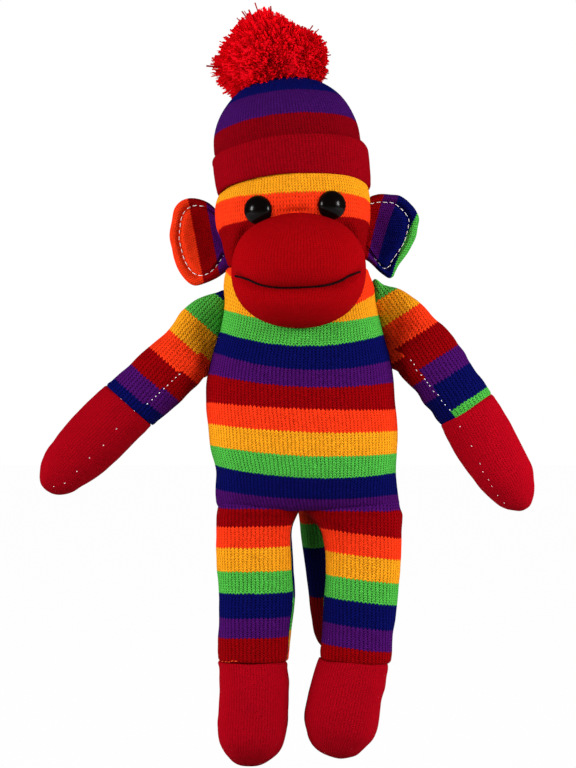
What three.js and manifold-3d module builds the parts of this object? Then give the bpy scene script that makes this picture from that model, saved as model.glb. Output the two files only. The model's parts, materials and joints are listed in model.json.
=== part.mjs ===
// Sock monkey doll in a rolled-brim beanie: knitted skins over stuffing, jointed where they are sewn
// together. Millimetres, +Z up. The doll looks along -Y, its own left side is +X, and the origin is the
// middle of its waist.
import * as THREE from 'three';
import { mergeVertices } from 'three/addons/utils/BufferGeometryUtils.js';
import Module from 'manifold-3d';

const wasm = await Module();
wasm.setup();

// Gaps between pieces that are sewn together, turn in each other or slide off
const seamGap = 0.3;
const pivotGap = 0.6;
const turnGap = 0.8;
const hatFit = 0.5;

// Body: one stuffed sock leg, its waist at the origin
const neckRise = 74;
const torsoHalfWidth = 53;
const torsoHalfDepth = 36;
const hipDrop = 79.5;
const hipRadius = 19.5;
const hipSpread = 30.4;
const hipShift = 5;
const pelvisShift = 3.2;

// Head: a ball squashed on the neck seam, with a pulled-on hat that leans back and to the doll's right
const headHalfWidth = 43.3;
const headHalfDepth = 41;
const browRise = 43;
const headLean = 5;
const headRoll = -5.5;
const headPitch = -10.5;
const headTurnLimit = 30;

// Hat: a sock end with its edge rolled up into a cuff
const crownHalfWidth = 41.3;
const crownHeight = 65;
const crownStraight = 24;
const hatWall = 2.7;
const cuffHeight = 22;
const cuffHalfWidth = 44.2;
const hatDepthShare = 0.95;
const tieRoom = 4.5;

// Pompom and the yarn that ties it on
const pompomRadius = 29.5;
const pompomRise = 7;
const pompomTuft = 2.6;
const tieRadius = 1.5;
const tieKnotRadius = 3.2;
const tieKnotHeight = 2.4;
const tieHeadRadius = 4;
const tieHeadHeight = 3;

// Muzzle: a stuffed sock heel sewn to the face
const muzzleHalfWidth = 37;
const muzzleHalfHeight = 31.6;
const muzzleHalfDepth = 34;
const muzzleForward = 34;
const muzzleDrop = 2.8;
const muzzleShift = 1.4;
const mouthDrop = 11.4;
const mouthCornerRise = 10.4;
const mouthRise = 2.2;
const mouthDepth = 2.6;
const mouthWidth = 5;
const threadRadius = 0.9;

// Safety eyes: a dome with a shank that a washer locks inside the head
const eyeRadius = 7.5;
const eyeHeight = 5;
const eyeRim = 0.9;
const eyeSpread = 20.3;
const eyeRise = 31.6;
const eyeSplay = 18;
const eyeSeat = 1.6;
const shankRadius = 2.4;
const shankLength = 14;
const skinThickness = 2.6;
const washerRadius = 9.5;
const washerThickness = 1.8;

// Ears: flat, lightly filled and topstitched
const earHalfHeight = 24;
const earHalfThickness = 3.4;
const earRootHalf = 15.5;
const earBack = 5;
const earCup = 5;
const leftEarLength = 25.2;
const leftEarLow = 4;
const leftEarHigh = 37;
const leftEarDrift = -1.5;
const rightEarLength = 25.6;
const rightEarLow = 1;
const rightEarHigh = 30;
const rightEarDrift = 7.5;

// Arms and hands
const armLength = 61.5;
const armHalfWidth = 16.6;
const armHalfDepth = 15.6;
const armRootHalf = 18.2;
const armRootRadius = 4.5;
const armPivot = 0.6;
const shoulderRise = 35;
const handLength = 65;
const handHalfWidth = 17.2;
const handHalfDepth = 16;
const wristRadius = 14;
const handBendLimit = 35;
const notchSpare = 1;

// Legs and feet
const legLength = 66.5;
const legHalfWidth = 21.6;
const legHalfDepth = 19.3;
const footLength = 58;
const footHalfWidth = 19.5;
const footHalfDepth = 19.6;
const footForward = 3;
const ankleRadius = 16.8;
const footBendLimit = 35;

// Tail: a narrow stuffed tube sewn to the seat
const tailLength = 112;
const tailRadius = 9;
const tailDrop = 38;
const tailShift = 5;
const tailSlope = 14;
const tailLean = -8;

// How each side hangs in the pose that the doll is kept in, in degrees and millimetres
const sides = [
  { name: 'left', way: 1, armDroop: 57.4, handDroop: 3.1, legLean: 3.1, footTurn: 10.5,
    earLength: leftEarLength, earLow: leftEarLow, earHigh: leftEarHigh, earDrift: leftEarDrift },
  { name: 'right', way: -1, armDroop: 49, handDroop: 0.6, legLean: 0.5, footTurn: 0.6,
    earLength: rightEarLength, earLow: rightEarLow, earHigh: rightEarHigh, earDrift: rightEarDrift },
];

// Counts of facets
const bodySides = 24;
const limbSides = 16;
const pivotSides = 16;
const pivotSteps = 6;
const lathedSides = 20;
const threadSides = 6;
const threadSteps = 24;
const pompomDetail = 6;

const degree = Math.PI / 180;
const sectionPower = 2.25;
const farAway = 4 * torsoHalfWidth;

// Colours of the yarns and the hard pieces
const yarns = {
  red: 0xb01018,
  brightRed: 0xd01828,
  green: 0x3ea638,
  navy: 0x10145a,
  purple: 0x4a1866,
  orange: 0xec3a13,
  yellow: 0xe79a19,
};
const knit = (color) => new THREE.MeshStandardMaterial({ color, roughness: 0.9, metalness: 0 });
const plastic = (color, roughness) => new THREE.MeshStandardMaterial({ color, roughness, metalness: 0 });

// Solids: a geometry's shared corners are merged so that it can be cut and joined
function toSolid(geometry) {
  const bare = geometry.clone();
  bare.deleteAttribute('normal');
  bare.deleteAttribute('uv');
  const merged = mergeVertices(bare, seamGap / 1000);
  const vertProperties = new Float32Array(merged.attributes.position.array);
  const triVerts = new Uint32Array(merged.index.array);
  return new wasm.Manifold(new wasm.Mesh({ numProp: 3, vertProperties, triVerts }));
}

function toGeometry(solid) {
  const mesh = solid.getMesh();
  const geometry = new THREE.BufferGeometry();
  geometry.setAttribute('position', new THREE.BufferAttribute(new Float32Array(mesh.vertProperties), 3));
  geometry.setIndex(new THREE.BufferAttribute(new Uint32Array(mesh.triVerts), 1));
  geometry.computeVertexNormals();
  return geometry;
}

const moved = (geometry, matrix) => geometry.clone().applyMatrix4(matrix);

// One point of a rounded outline between an ellipse and a rectangle
function roundedPoint(angle, halfWidth, halfDepth, power = sectionPower) {
  const c = Math.cos(angle);
  const s = Math.sin(angle);
  return [
    Math.sign(c) * Math.abs(c) ** (2 / power) * halfWidth,
    Math.sign(s) * Math.abs(s) ** (2 / power) * halfDepth,
  ];
}

// A stuffed form: rounded sections joined in order, closed at both ends; grow makes it larger all round
function stuffedForm(sections, ringSides, grow = 0) {
  const rings = sections.map((section) => ({ ...section, at: section.at.clone() }));
  const last = rings.length - 1;
  const startWay = rings[0].at.clone().sub(rings[1].at).normalize();
  const endWay = rings[last].at.clone().sub(rings[last - 1].at).normalize();
  rings[0].at.addScaledVector(startWay, grow);
  rings[last].at.addScaledVector(endWay, grow);
  const points = [];
  for (const ring of rings) {
    for (let k = 0; k < ringSides; k += 1) {
      const angle = (2 * Math.PI * k) / ringSides;
      const [x, y] = roundedPoint(angle, ring.halfWidth + grow, ring.halfDepth + grow, ring.power);
      const cupping = (ring.cup ?? 0) * (x / ring.halfWidth) ** 2;
      const point = ring.at.clone().addScaledVector(ring.across, x).addScaledVector(ring.deep, y + cupping);
      points.push(point.x, point.y, point.z);
    }
  }
  const startCentre = points.length / 3;
  points.push(...rings[0].at.toArray());
  points.push(...rings[last].at.toArray());
  const faces = [];
  for (let k = 0; k < ringSides; k += 1) {
    const next = (k + 1) % ringSides;
    faces.push(startCentre, next, k);
    faces.push(startCentre + 1, last * ringSides + k, last * ringSides + next);
    for (let i = 0; i < last; i += 1) {
      const low = i * ringSides;
      const high = low + ringSides;
      faces.push(low + k, low + next, high + next);
      faces.push(low + k, high + next, high + k);
    }
  }
  // Sections run along across x deep, or against it: the faces are turned to point out
  const along = rings[1].at.clone().sub(rings[0].at);
  const facing = rings[0].across.clone().cross(rings[0].deep).dot(along);
  if (facing < 0) faces.reverse();
  const geometry = new THREE.BufferGeometry();
  geometry.setAttribute('position', new THREE.Float32BufferAttribute(points, 3));
  geometry.setIndex(faces);
  geometry.computeVertexNormals();
  return geometry;
}

// Every limb has its own frame: X along it, Z along the seam that it bends at, Y through its thickness
function limbFrame(origin, along, hinge) {
  const deep = hinge.clone().cross(along).normalize();
  return new THREE.Matrix4().makeBasis(along, deep, hinge).setPosition(origin);
}

// Centre line of a limb: an arc away from its root, then straight on
function centreAt(distance, bendRadius, bendAngle) {
  const bend = Math.abs(bendAngle) * degree;
  const sign = Math.sign(bendAngle);
  const turned = Math.min(distance / bendRadius, bend);
  const straight = Math.max(distance - bendRadius * bend, 0);
  const fall = -sign * (1 - Math.cos(turned));
  const at = new THREE.Vector3(Math.sin(turned), 0, fall).multiplyScalar(bendRadius);
  const along = new THREE.Vector3(Math.cos(turned), 0, -sign * Math.sin(turned));
  const across = new THREE.Vector3(sign * Math.sin(turned), 0, Math.cos(turned));
  return { at: at.addScaledVector(along, straight), along, across };
}

function limbSections(shares, size) {
  const deep = new THREE.Vector3(0, 1, 0);
  return shares.map(([place, width, depth, forward = 0, power = sectionPower]) => {
    const { at, across } = centreAt(place * size.length, size.bendRadius, size.bendAngle);
    at.addScaledVector(deep, forward * (size.forward ?? 0));
    return { at, across, deep, power, halfWidth: width * size.halfWidth, halfDepth: depth * size.halfDepth };
  });
}

function limbEnd(size) {
  const { at, along, across } = centreAt(size.length, size.bendRadius, size.bendAngle);
  return limbFrame(at, along, across);
}

// The round end that a limb turns on, a body of revolution about the seam line
function pivotEnd(halfLength, radius, power = sectionPower) {
  const profile = [];
  for (let i = 0; i <= pivotSteps; i += 1) {
    const [r, z] = roundedPoint(Math.PI * (i / pivotSteps - 1 / 2), radius, halfLength, power);
    profile.push(new THREE.Vector2(i % pivotSteps === 0 ? 0 : r, z));
  }
  return new THREE.LatheGeometry(profile, pivotSides).rotateX(Math.PI / 2);
}

// A wedge-ended block about the seam line: what lies beyond the seam, opened or closed by the notch angle
function beyondSeam(notch, reach) {
  const rise = Math.sin(notch * degree) * reach;
  const outline = new THREE.Shape();
  outline.moveTo(0, 0);
  outline.lineTo(rise, -reach);
  outline.lineTo(2 * reach, -reach);
  outline.lineTo(2 * reach, reach);
  outline.lineTo(rise, reach);
  outline.closePath();
  const block = new THREE.ExtrudeGeometry(outline, { depth: 2 * reach, bevelEnabled: false });
  return block.translate(0, 0, -reach);
}

// A limb ends in a socket round the next one's pivot, and the notch between them leaves room to bend
function withSocket(limb, frame, halfLength, radius, bendLimit) {
  const notch = bendLimit / 2 + notchSpare;
  const pivot = moved(pivotEnd(halfLength + pivotGap, radius + pivotGap), frame);
  const beyond = moved(beyondSeam(-notch, farAway), frame);
  return limb.subtract(toSolid(beyond)).subtract(toSolid(pivot));
}

function withPivot(limb, halfLength, radius, bendLimit, power = sectionPower) {
  const notch = bendLimit === 0 ? 0 : bendLimit / 2 + notchSpare;
  const kept = limb.intersect(toSolid(beyondSeam(notch, farAway)));
  return kept.add(toSolid(pivotEnd(halfLength, radius, power)));
}

function pieceMesh(name, solidOrGeometry, material) {
  const geometry = solidOrGeometry.isBufferGeometry ? solidOrGeometry : toGeometry(solidOrGeometry);
  const mesh = new THREE.Mesh(geometry, material);
  mesh.name = name;
  return mesh;
}

function placedGroup(matrix, ...children) {
  const group = new THREE.Group();
  group.applyMatrix4(matrix);
  group.add(...children);
  return group;
}

// Where a straight ray first meets a form, to seat a piece on its surface
function surfaceAt(geometry, from, way) {
  const target = new THREE.Mesh(geometry, knit(yarns.red));
  const hit = new THREE.Raycaster(from, way).intersectObject(target)[0];
  return { point: hit.point, normal: hit.face.normal };
}

// A straight sewn line down the side of a form, stood off just far enough for a round edge to turn on it
function sideSeam(geometry, way, depth, low, high, edgeRadius) {
  const inward = new THREE.Vector3(-way, 0, 0);
  const samples = 12;
  const points = [];
  for (let i = 0; i <= samples; i += 1) {
    const from = new THREE.Vector3(way * farAway, depth, low + ((high - low) * i) / samples);
    points.push(surfaceAt(geometry, from, inward).point);
  }
  const hinge = points[samples].clone().sub(points[0]).normalize();
  const along = new THREE.Vector3(hinge.z, 0, -hinge.x).multiplyScalar(way);
  const bulge = Math.max(...points.map((point) => point.clone().sub(points[0]).dot(along)));
  const origin = points[0].clone().add(points[samples]).multiplyScalar(1 / 2);
  origin.addScaledVector(along, bulge + edgeRadius + seamGap);
  return limbFrame(origin, along, hinge);
}

const doll = new THREE.Group();

// Torso: flat where the legs meet it and where the head is sewn on, fullest at the belly
const seatDrop = hipDrop - hipRadius - seamGap;
const torsoHeight = neckRise + seatDrop;
const torsoShares = [
  [0, 0.88, 0.74, 1], [0.02, 0.95, 0.86, 1], [0.058, 0.97, 0.93, 1], [0.14, 0.97, 0.97, 0.9],
  [0.237, 0.985, 0.99, 0.6], [0.357, 1, 1, 0.25], [0.446, 1, 0.99, 0], [0.536, 0.98, 0.97, 0],
  [0.641, 0.935, 0.94, 0], [0.746, 0.875, 0.9, 0], [0.865, 0.805, 0.84, 0], [0.94, 0.77, 0.8, 0],
  [0.985, 0.745, 0.765, 0], [1, 0.705, 0.71, 0],
];
const sideways = new THREE.Vector3(1, 0, 0);
const backwards = new THREE.Vector3(0, 1, 0);
const torsoSections = torsoShares.map(([height, width, depth, drift]) => ({
  at: new THREE.Vector3(drift * pelvisShift, 0, height * torsoHeight - seatDrop),
  across: sideways,
  deep: backwards,
  halfWidth: width * torsoHalfWidth,
  halfDepth: depth * torsoHalfDepth,
}));
const torsoForm = stuffedForm(torsoSections, bodySides);
doll.add(pieceMesh('torso', torsoForm, knit(yarns.orange)));

// The head's parts lie in the neck's frame, whose zero is the sewn neck seam
const neckFrame = new THREE.Matrix4().makeTranslation(0, 0, neckRise);
const turnedBy = (share) => new THREE.Quaternion()
  .setFromAxisAngle(backwards, share * headRoll * degree)
  .multiply(new THREE.Quaternion().setFromAxisAngle(sideways, share * headPitch * degree));
const hatOrigin = new THREE.Vector3(-headLean, 0, browRise);
const hatFrame = new THREE.Matrix4().compose(hatOrigin, turnedBy(1), new THREE.Vector3(1, 1, 1));

// Half width of a dome at a share of its angle from the top: straight below, rounded over above
function domePoint(share, radius, top) {
  const [r, h] = roundedPoint((share * Math.PI) / 2, radius, top - crownStraight, sectionPower);
  return [r, h + crownStraight];
}

const faceShares = [
  [0, 0.76, 0.68, 0, 0.1], [0.05, 0.84, 0.77, 0, 0.3], [0.16, 0.9, 0.865, 0.05, 0.6],
  [0.33, 0.95, 0.94, 0.15, 0.78], [0.56, 0.985, 0.985, 0.4, 0.93], [0.79, 1, 1, 0.7, 1],
  [0.93, 0.99, 0.99, 0.9, 1],
];
const scalpHalfWidth = crownHalfWidth - hatWall - hatFit;
const scalpHeight = crownHeight - hatWall - tieRoom;
const browLedge = seamGap + seamGap;
const domeShares = [0, 0.2, 0.36, 0.5, 0.64, 0.78, 0.9];

function headSection(height, width, depth, turn, drift) {
  const turned = turnedBy(turn);
  return {
    at: new THREE.Vector3(-drift * headLean, 0, height),
    across: sideways.clone().applyQuaternion(turned),
    deep: backwards.clone().applyQuaternion(turned),
    halfWidth: width,
    halfDepth: depth,
  };
}

function hatSection(rise, width) {
  const section = headSection(0, width, width * hatDepthShare, 1, 1);
  section.at = new THREE.Vector3(0, 0, rise).applyMatrix4(hatFrame);
  section.power = 2;
  return section;
}

const headSections = [
  ...faceShares.map(([height, width, depth, turn, drift]) => headSection(
    seamGap + height * (browRise - seamGap), width * headHalfWidth, depth * headHalfDepth, turn, drift,
  )),
  hatSection(-browLedge - hatWall, crownHalfWidth + hatFit),
  hatSection(-browLedge, crownHalfWidth - hatWall),
  hatSection(0, scalpHalfWidth),
  ...domeShares.map((share) => {
    const [r, h] = domePoint(share, scalpHalfWidth, scalpHeight);
    return hatSection(h, r);
  }),
];
headSections.push(hatSection(scalpHeight, headSections[headSections.length - 1].halfWidth / 2));
const headForm = stuffedForm(headSections, bodySides);

// Safety eyes: seated in the face where a ray from the front meets it
function eyeGeometry() {
  const profile = [new THREE.Vector2(0, -shankLength), new THREE.Vector2(shankRadius, -shankLength)];
  profile.push(new THREE.Vector2(shankRadius, 0));
  profile.push(new THREE.Vector2(eyeRadius - eyeRim / 2, 0));
  const steps = 5;
  for (let i = 0; i < steps; i += 1) {
    const angle = (i / steps) * (Math.PI / 2);
    const height = eyeRim + (eyeHeight - eyeRim) * Math.sin(angle);
    profile.push(new THREE.Vector2(eyeRadius * Math.cos(angle), height));
  }
  profile.push(new THREE.Vector2(0, eyeHeight));
  return new THREE.LatheGeometry(profile, lathedSides);
}

function discGeometry(radius, low, high) {
  const disc = new THREE.CylinderGeometry(radius, radius, high - low, lathedSides);
  return disc.translate(0, (low + high) / 2, 0);
}

function ringGeometry(inner, outer, low, high) {
  const profile = [[inner, low], [outer, low], [outer, high], [inner, high], [inner, low]];
  return new THREE.LatheGeometry(profile.map(([r, h]) => new THREE.Vector2(r, h)), lathedSides);
}

const eyeRollShare = 0.7;
const boreGap = 1.5 * seamGap;
const washerTop = -skinThickness;
const washerLow = washerTop - washerThickness;
let headSolid = toSolid(headForm);
const eyePlaces = sides.map(({ name, way }) => {
  const roll = eyeRollShare * headRoll * degree;
  const x = -eyeRollShare * headLean + way * eyeSpread * Math.cos(roll);
  const z = eyeRise - way * eyeSpread * Math.sin(roll);
  const { point } = surfaceAt(headForm, new THREE.Vector3(x, -farAway, z), backwards);
  const outward = new THREE.Vector3(way * Math.sin(eyeSplay * degree), -Math.cos(eyeSplay * degree), 0);
  const facing = new THREE.Quaternion().setFromUnitVectors(backwards, outward);
  const seat = point.addScaledVector(outward, -eyeSeat);
  const frame = new THREE.Matrix4().compose(seat, facing, new THREE.Vector3(1, 1, 1));
  const socket = moved(discGeometry(eyeRadius + seamGap, -seamGap, 2 * eyeHeight), frame);
  const bore = moved(discGeometry(shankRadius + boreGap, -shankLength - seamGap, 0), frame);
  const room = discGeometry(washerRadius + seamGap, washerLow - seamGap, washerTop + seamGap);
  const pocket = moved(room, frame);
  for (const cutter of [socket, bore, pocket]) headSolid = headSolid.subtract(toSolid(cutter));
  return { name, frame, socket };
});
const head = placedGroup(neckFrame, pieceMesh('head', headSolid, knit(yarns.yellow)));
for (const { name, frame } of eyePlaces) {
  const washer = ringGeometry(shankRadius + seamGap, washerRadius, washerLow, washerTop);
  head.add(placedGroup(
    frame,
    pieceMesh(`eye_${name}`, eyeGeometry(), plastic(0x0a0808, 0.12)),
    pieceMesh(`eye_washer_${name}`, washer, plastic(0xe8e6e0, 0.5)),
  ));
}

// Muzzle: a full rounded form with the mouth drawn in across it, hollowed to sit on the face
const muzzleCentre = new THREE.Vector3(-muzzleShift, -muzzleForward, -muzzleDrop);
const mouthHeight = (x) => {
  const share = x / muzzleHalfWidth;
  return -mouthDrop + mouthCornerRise * share * share + mouthRise * share;
};
const lowerLipShare = 0.88;

function muzzlePoint(direction) {
  const lowness = Math.min(Math.max(-2 * direction.z, 0), 1);
  const depth = muzzleHalfDepth * (1 - (1 - lowerLipShare) * lowness);
  const point = direction.clone().multiply(new THREE.Vector3(muzzleHalfWidth, depth, muzzleHalfHeight));
  const away = (point.z - mouthHeight(point.x)) / mouthWidth;
  const front = Math.max(-direction.y, 0);
  const drawnIn = mouthDepth * Math.exp(-away * away) * Math.min(2 * front, 1);
  return point.addScaledVector(direction, -drawnIn);
}

function muzzleGeometry() {
  const ball = new THREE.SphereGeometry(1, bodySides, bodySides - 4).rotateX(Math.PI / 2);
  const place = ball.attributes.position;
  for (let i = 0; i < place.count; i += 1) {
    const direction = new THREE.Vector3().fromBufferAttribute(place, i).normalize();
    const point = muzzlePoint(direction).add(muzzleCentre);
    place.setXYZ(i, point.x, point.y, point.z);
  }
  return ball;
}

// The mouth thread lies in the drawn-in line, from one corner of the muzzle to the other
const mouthReachShare = 0.93;

function mouthCurve() {
  const stations = 14;
  const points = [];
  for (let i = 0; i <= stations; i += 1) {
    const share = mouthReachShare * ((2 * i) / stations - 1);
    const up = mouthHeight(share * muzzleHalfWidth) / muzzleHalfHeight;
    const direction = new THREE.Vector3(share, -Math.sqrt(Math.max(1 - share * share - up * up, 0)), up);
    const point = muzzlePoint(direction.normalize());
    points.push(point.addScaledVector(direction, threadRadius / 2).add(muzzleCentre));
  }
  return new THREE.CatmullRomCurve3(points);
}

function threadGeometry(radius) {
  const outline = new THREE.Shape();
  for (let i = 0; i < threadSides; i += 1) {
    const angle = (2 * Math.PI * i) / threadSides;
    const corner = [radius * Math.cos(angle), radius * Math.sin(angle)];
    if (i === 0) outline.moveTo(...corner);
    else outline.lineTo(...corner);
  }
  outline.closePath();
  const course = { steps: threadSteps, bevelEnabled: false, extrudePath: mouthCurve() };
  return new THREE.ExtrudeGeometry(outline, course);
}

// As the head turns, the muzzle passes the chest: this is the widest that the chest gets to on the way
function chestSweep() {
  const count = 2 * bodySides;
  const rings = torsoSections.filter(({ at }) => at.z > 0);
  const points = [];
  for (const ring of rings) {
    for (let k = 0; k < count; k += 1) {
      const angle = (2 * Math.PI * k) / count;
      const fromFront = Math.abs(Math.atan2(Math.sin(angle), Math.cos(angle)));
      const reached = Math.min(fromFront + headTurnLimit * degree, Math.PI / 2);
      const width = Math.sin(reached) / ring.halfWidth;
      const depth = Math.cos(reached) / ring.halfDepth;
      const radius = (width ** sectionPower + depth ** sectionPower) ** (-1 / sectionPower) + turnGap;
      points.push(radius * Math.sin(angle), -radius * Math.cos(angle), ring.at.z - neckRise);
    }
  }
  const last = rings.length - 1;
  const centre = points.length / 3;
  points.push(0, 0, rings[0].at.z - neckRise, 0, 0, turnGap - seamGap);
  for (let k = 0; k < count; k += 1) points[3 * (last * count + k) + 2] = turnGap - seamGap;
  const faces = [];
  for (let k = 0; k < count; k += 1) {
    const next = (k + 1) % count;
    faces.push(centre, next, k);
    faces.push(centre + 1, last * count + k, last * count + next);
    for (let i = 0; i < last; i += 1) {
      faces.push(i * count + k, i * count + next, (i + 1) * count + next);
      faces.push(i * count + k, (i + 1) * count + next, (i + 1) * count + k);
    }
  }
  const geometry = new THREE.BufferGeometry();
  geometry.setAttribute('position', new THREE.Float32BufferAttribute(points, 3));
  geometry.setIndex(faces);
  return geometry;
}

let muzzleSolid = toSolid(muzzleGeometry())
  .subtract(toSolid(stuffedForm(headSections, bodySides, seamGap)))
  .subtract(toSolid(chestSweep()))
  .subtract(toSolid(threadGeometry(threadRadius + seamGap)));
for (const { socket } of eyePlaces) muzzleSolid = muzzleSolid.subtract(toSolid(socket));
head.add(pieceMesh('muzzle', muzzleSolid, knit(yarns.red)));
head.add(pieceMesh('mouth_thread', threadGeometry(threadRadius), plastic(0x140607, 0.8)));

// Ears: each turns on the line where it is sewn to the side of the head
const earShares = [
  [0, 0, 1, 0], [0.12, 0.45, 1, 0.2], [0.3, 0.9, 1, 0.7], [0.5, 1, 0.95, 1],
  [0.7, 1, 0.85, 1], [0.86, 1, 0.7, 1], [0.96, 1, 0.5, 1], [1, 1, 0.25, 1],
];
const earHeightShares = [earRootHalf / earHalfHeight, 0.84, 0.97, 1, 0.92, 0.72, 0.42, 0.14];
for (const { name, way, earLength, earLow, earHigh, earDrift } of sides) {
  const frame = sideSeam(headForm, way, earBack, earLow, earHigh, earHalfThickness);
  const sections = earShares.map(([place, drift, thick, cup], i) => ({
    at: new THREE.Vector3(place * earLength, 0, drift * earDrift),
    across: new THREE.Vector3(0, 0, 1),
    deep: new THREE.Vector3(0, 1, 0),
    halfWidth: earHeightShares[i] * earHalfHeight,
    halfDepth: thick * earHalfThickness,
    cup: -way * cup * earCup,
  }));
  const ear = withPivot(toSolid(stuffedForm(sections, limbSides)), earRootHalf, earHalfThickness, 0, 3);
  head.add(placedGroup(frame, pieceMesh(`ear_${name}`, ear, knit(yarns.purple))));
}

// Hat: crown and rolled cuff in one shell, open below and pierced at the top for the pompom's tie
const hatInner = crownHalfWidth - hatWall;
const tieBore = tieRadius + seamGap;
const cuffShares = [
  [0.55, 0.985], [0.9, 0.89], [1, 0.68], [1, 0.42], [0.93, 0.19], [0.62, 0.03], [0.2, 0],
];
const hatDomeShares = [0, 0.2, 0.36, 0.5, 0.64, 0.78, 0.9];

function hatGeometry() {
  const cuffThickness = cuffHalfWidth - hatInner;
  const profile = [[tieBore, crownHeight]];
  for (const share of [...hatDomeShares].reverse()) {
    profile.push(domePoint(share, crownHalfWidth, crownHeight));
  }
  profile.push([crownHalfWidth, cuffHeight]);
  for (const [out, up] of cuffShares) {
    const base = up > 1 / 2 ? crownHalfWidth : hatInner;
    const thickness = up > 1 / 2 ? cuffHalfWidth - crownHalfWidth : cuffThickness;
    profile.push([base + out * thickness, up * cuffHeight]);
  }
  profile.push([hatInner, hatWall / 2]);
  for (const share of hatDomeShares) profile.push(domePoint(share, hatInner, crownHeight - hatWall));
  profile.push([tieBore, crownHeight - hatWall]);
  profile.push(profile[0]);
  const points = profile.map(([r, h]) => new THREE.Vector2(r, h)).reverse();
  return new THREE.LatheGeometry(points, bodySides).rotateX(Math.PI / 2).scale(1, hatDepthShare, 1);
}

// The tie goes through the crown: a knot inside, a bound collar in the pompom
const knotTop = crownHeight - hatWall - seamGap;
const collarLow = crownHeight + seamGap;

function tieGeometry() {
  const profile = [
    [0, knotTop - tieKnotHeight], [tieKnotRadius, knotTop - tieKnotHeight / 2], [tieKnotRadius / 2, knotTop],
    [tieRadius, knotTop], [tieRadius, collarLow], [tieHeadRadius, collarLow],
    [tieHeadRadius, collarLow + tieHeadHeight], [0, collarLow + tieHeadHeight],
  ];
  const points = profile.map(([r, h]) => new THREE.Vector2(r, h));
  return new THREE.LatheGeometry(points, pivotSides).rotateX(Math.PI / 2);
}

// Pompom: a ball of yarn tufts, hollowed below where it presses on the crown
const pompomLobeShares = [[-0.5, -0.2, 0.45, 0.2], [0.7, -0.1, 0.05, 0.05], [-0.85, -0.1, -0.35, 0.2]];
const pompomSpanShare = 0.55;

function pompomGeometry() {
  const faceted = new THREE.IcosahedronGeometry(1, pompomDetail);
  faceted.deleteAttribute('normal');
  faceted.deleteAttribute('uv');
  const ball = mergeVertices(faceted);
  const place = ball.attributes.position;
  for (let i = 0; i < place.count; i += 1) {
    const way = new THREE.Vector3().fromBufferAttribute(place, i).normalize();
    let radius = pompomRadius;
    for (const [x, y, z, share] of pompomLobeShares) {
      const near = way.distanceTo(new THREE.Vector3(x, y, z).normalize()) / pompomSpanShare;
      radius += share * pompomRadius * Math.exp(-near * near);
    }
    const waves = Math.sin(7 * way.x + 2 * way.y) * Math.sin(6 * way.y + way.z) * Math.cos(7 * way.z);
    radius += pompomTuft * waves;
    way.multiplyScalar(radius);
    place.setXYZ(i, way.x, way.y, way.z);
  }
  return ball.translate(0, 0, crownHeight + pompomRise);
}

function crownSweep() {
  const profile = [[0, crownHeight + turnGap]];
  for (const share of [...hatDomeShares].reverse()) {
    profile.push(domePoint(share, crownHalfWidth + turnGap, crownHeight + turnGap));
  }
  profile.push([0, crownStraight]);
  const points = profile.map(([r, h]) => new THREE.Vector2(r, h)).reverse();
  return new THREE.LatheGeometry(points, bodySides).rotateX(Math.PI / 2);
}

const skirtHeight = scalpHeight + turnGap;
const below = discGeometry(farAway, skirtHeight - farAway, skirtHeight).rotateX(Math.PI / 2);
const collarRoom = discGeometry(tieHeadRadius + seamGap, crownHeight, collarLow + tieHeadHeight + seamGap);
const pompom = toSolid(pompomGeometry())
  .subtract(toSolid(crownSweep()))
  .subtract(toSolid(below))
  .subtract(toSolid(collarRoom.rotateX(Math.PI / 2)));
head.add(placedGroup(
  hatFrame,
  pieceMesh('hat', hatGeometry(), knit(yarns.red)),
  pieceMesh('pompom_tie', tieGeometry(), knit(yarns.brightRed)),
  pieceMesh('pompom', pompom, knit(yarns.brightRed)),
));
doll.add(head);

// Arms: gathered flat where they are sewn on, bent down from there, with a mitten hand on a pinched
// wrist seam
const armShares = [
  [0, 1, 0.27], [0.1, 1, 0.44], [0.2, 1, 0.63], [0.3, 1, 0.81], [0.42, 1, 0.95],
  [0.6, 0.98, 1], [0.8, 0.97, 1], [0.93, 0.99, 0.98], [1, 0.99, 0.95],
];
const handShares = [
  [0, 0.94, 0.93], [0.08, 0.97, 0.97], [0.25, 1, 1], [0.5, 1.01, 1], [0.68, 0.95, 0.95], [0.81, 0.82, 0.83],
  [0.91, 0.62, 0.64], [0.975, 0.36, 0.38], [1, 0.14, 0.15],
];
for (const { name, way, armDroop, handDroop } of sides) {
  const low = shoulderRise - armRootHalf;
  const shoulder = sideSeam(torsoForm, way, 0, low, shoulderRise + armRootHalf, armRootRadius);
  const outward = new THREE.Vector3().setFromMatrixColumn(shoulder, 0);
  const lift = Math.asin(outward.z) / degree;
  const arm = {
    length: armLength,
    halfWidth: armHalfWidth,
    halfDepth: armHalfDepth,
    bendRadius: armRootHalf + armPivot,
    bendAngle: armDroop + lift,
  };
  const hand = {
    length: handLength,
    halfWidth: handHalfWidth,
    halfDepth: handHalfDepth,
    bendRadius: handHalfWidth,
    bendAngle: handDroop,
  };
  const wrist = limbEnd(arm);
  const armForm = toSolid(stuffedForm(limbSections(armShares, arm), limbSides));
  const armSolid = withSocket(
    withPivot(armForm, armRootHalf, armRootRadius, 0, 3), wrist, armHalfWidth, wristRadius, handBendLimit,
  );
  const handForm = toSolid(stuffedForm(limbSections(handShares, hand), limbSides));
  const handSolid = withPivot(handForm, armHalfWidth, wristRadius, handBendLimit);
  doll.add(placedGroup(
    shoulder,
    pieceMesh(`arm_${name}`, armSolid, knit(yarns.green)),
    placedGroup(wrist, pieceMesh(`hand_${name}`, handSolid, knit(yarns.red))),
  ));
}

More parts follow.
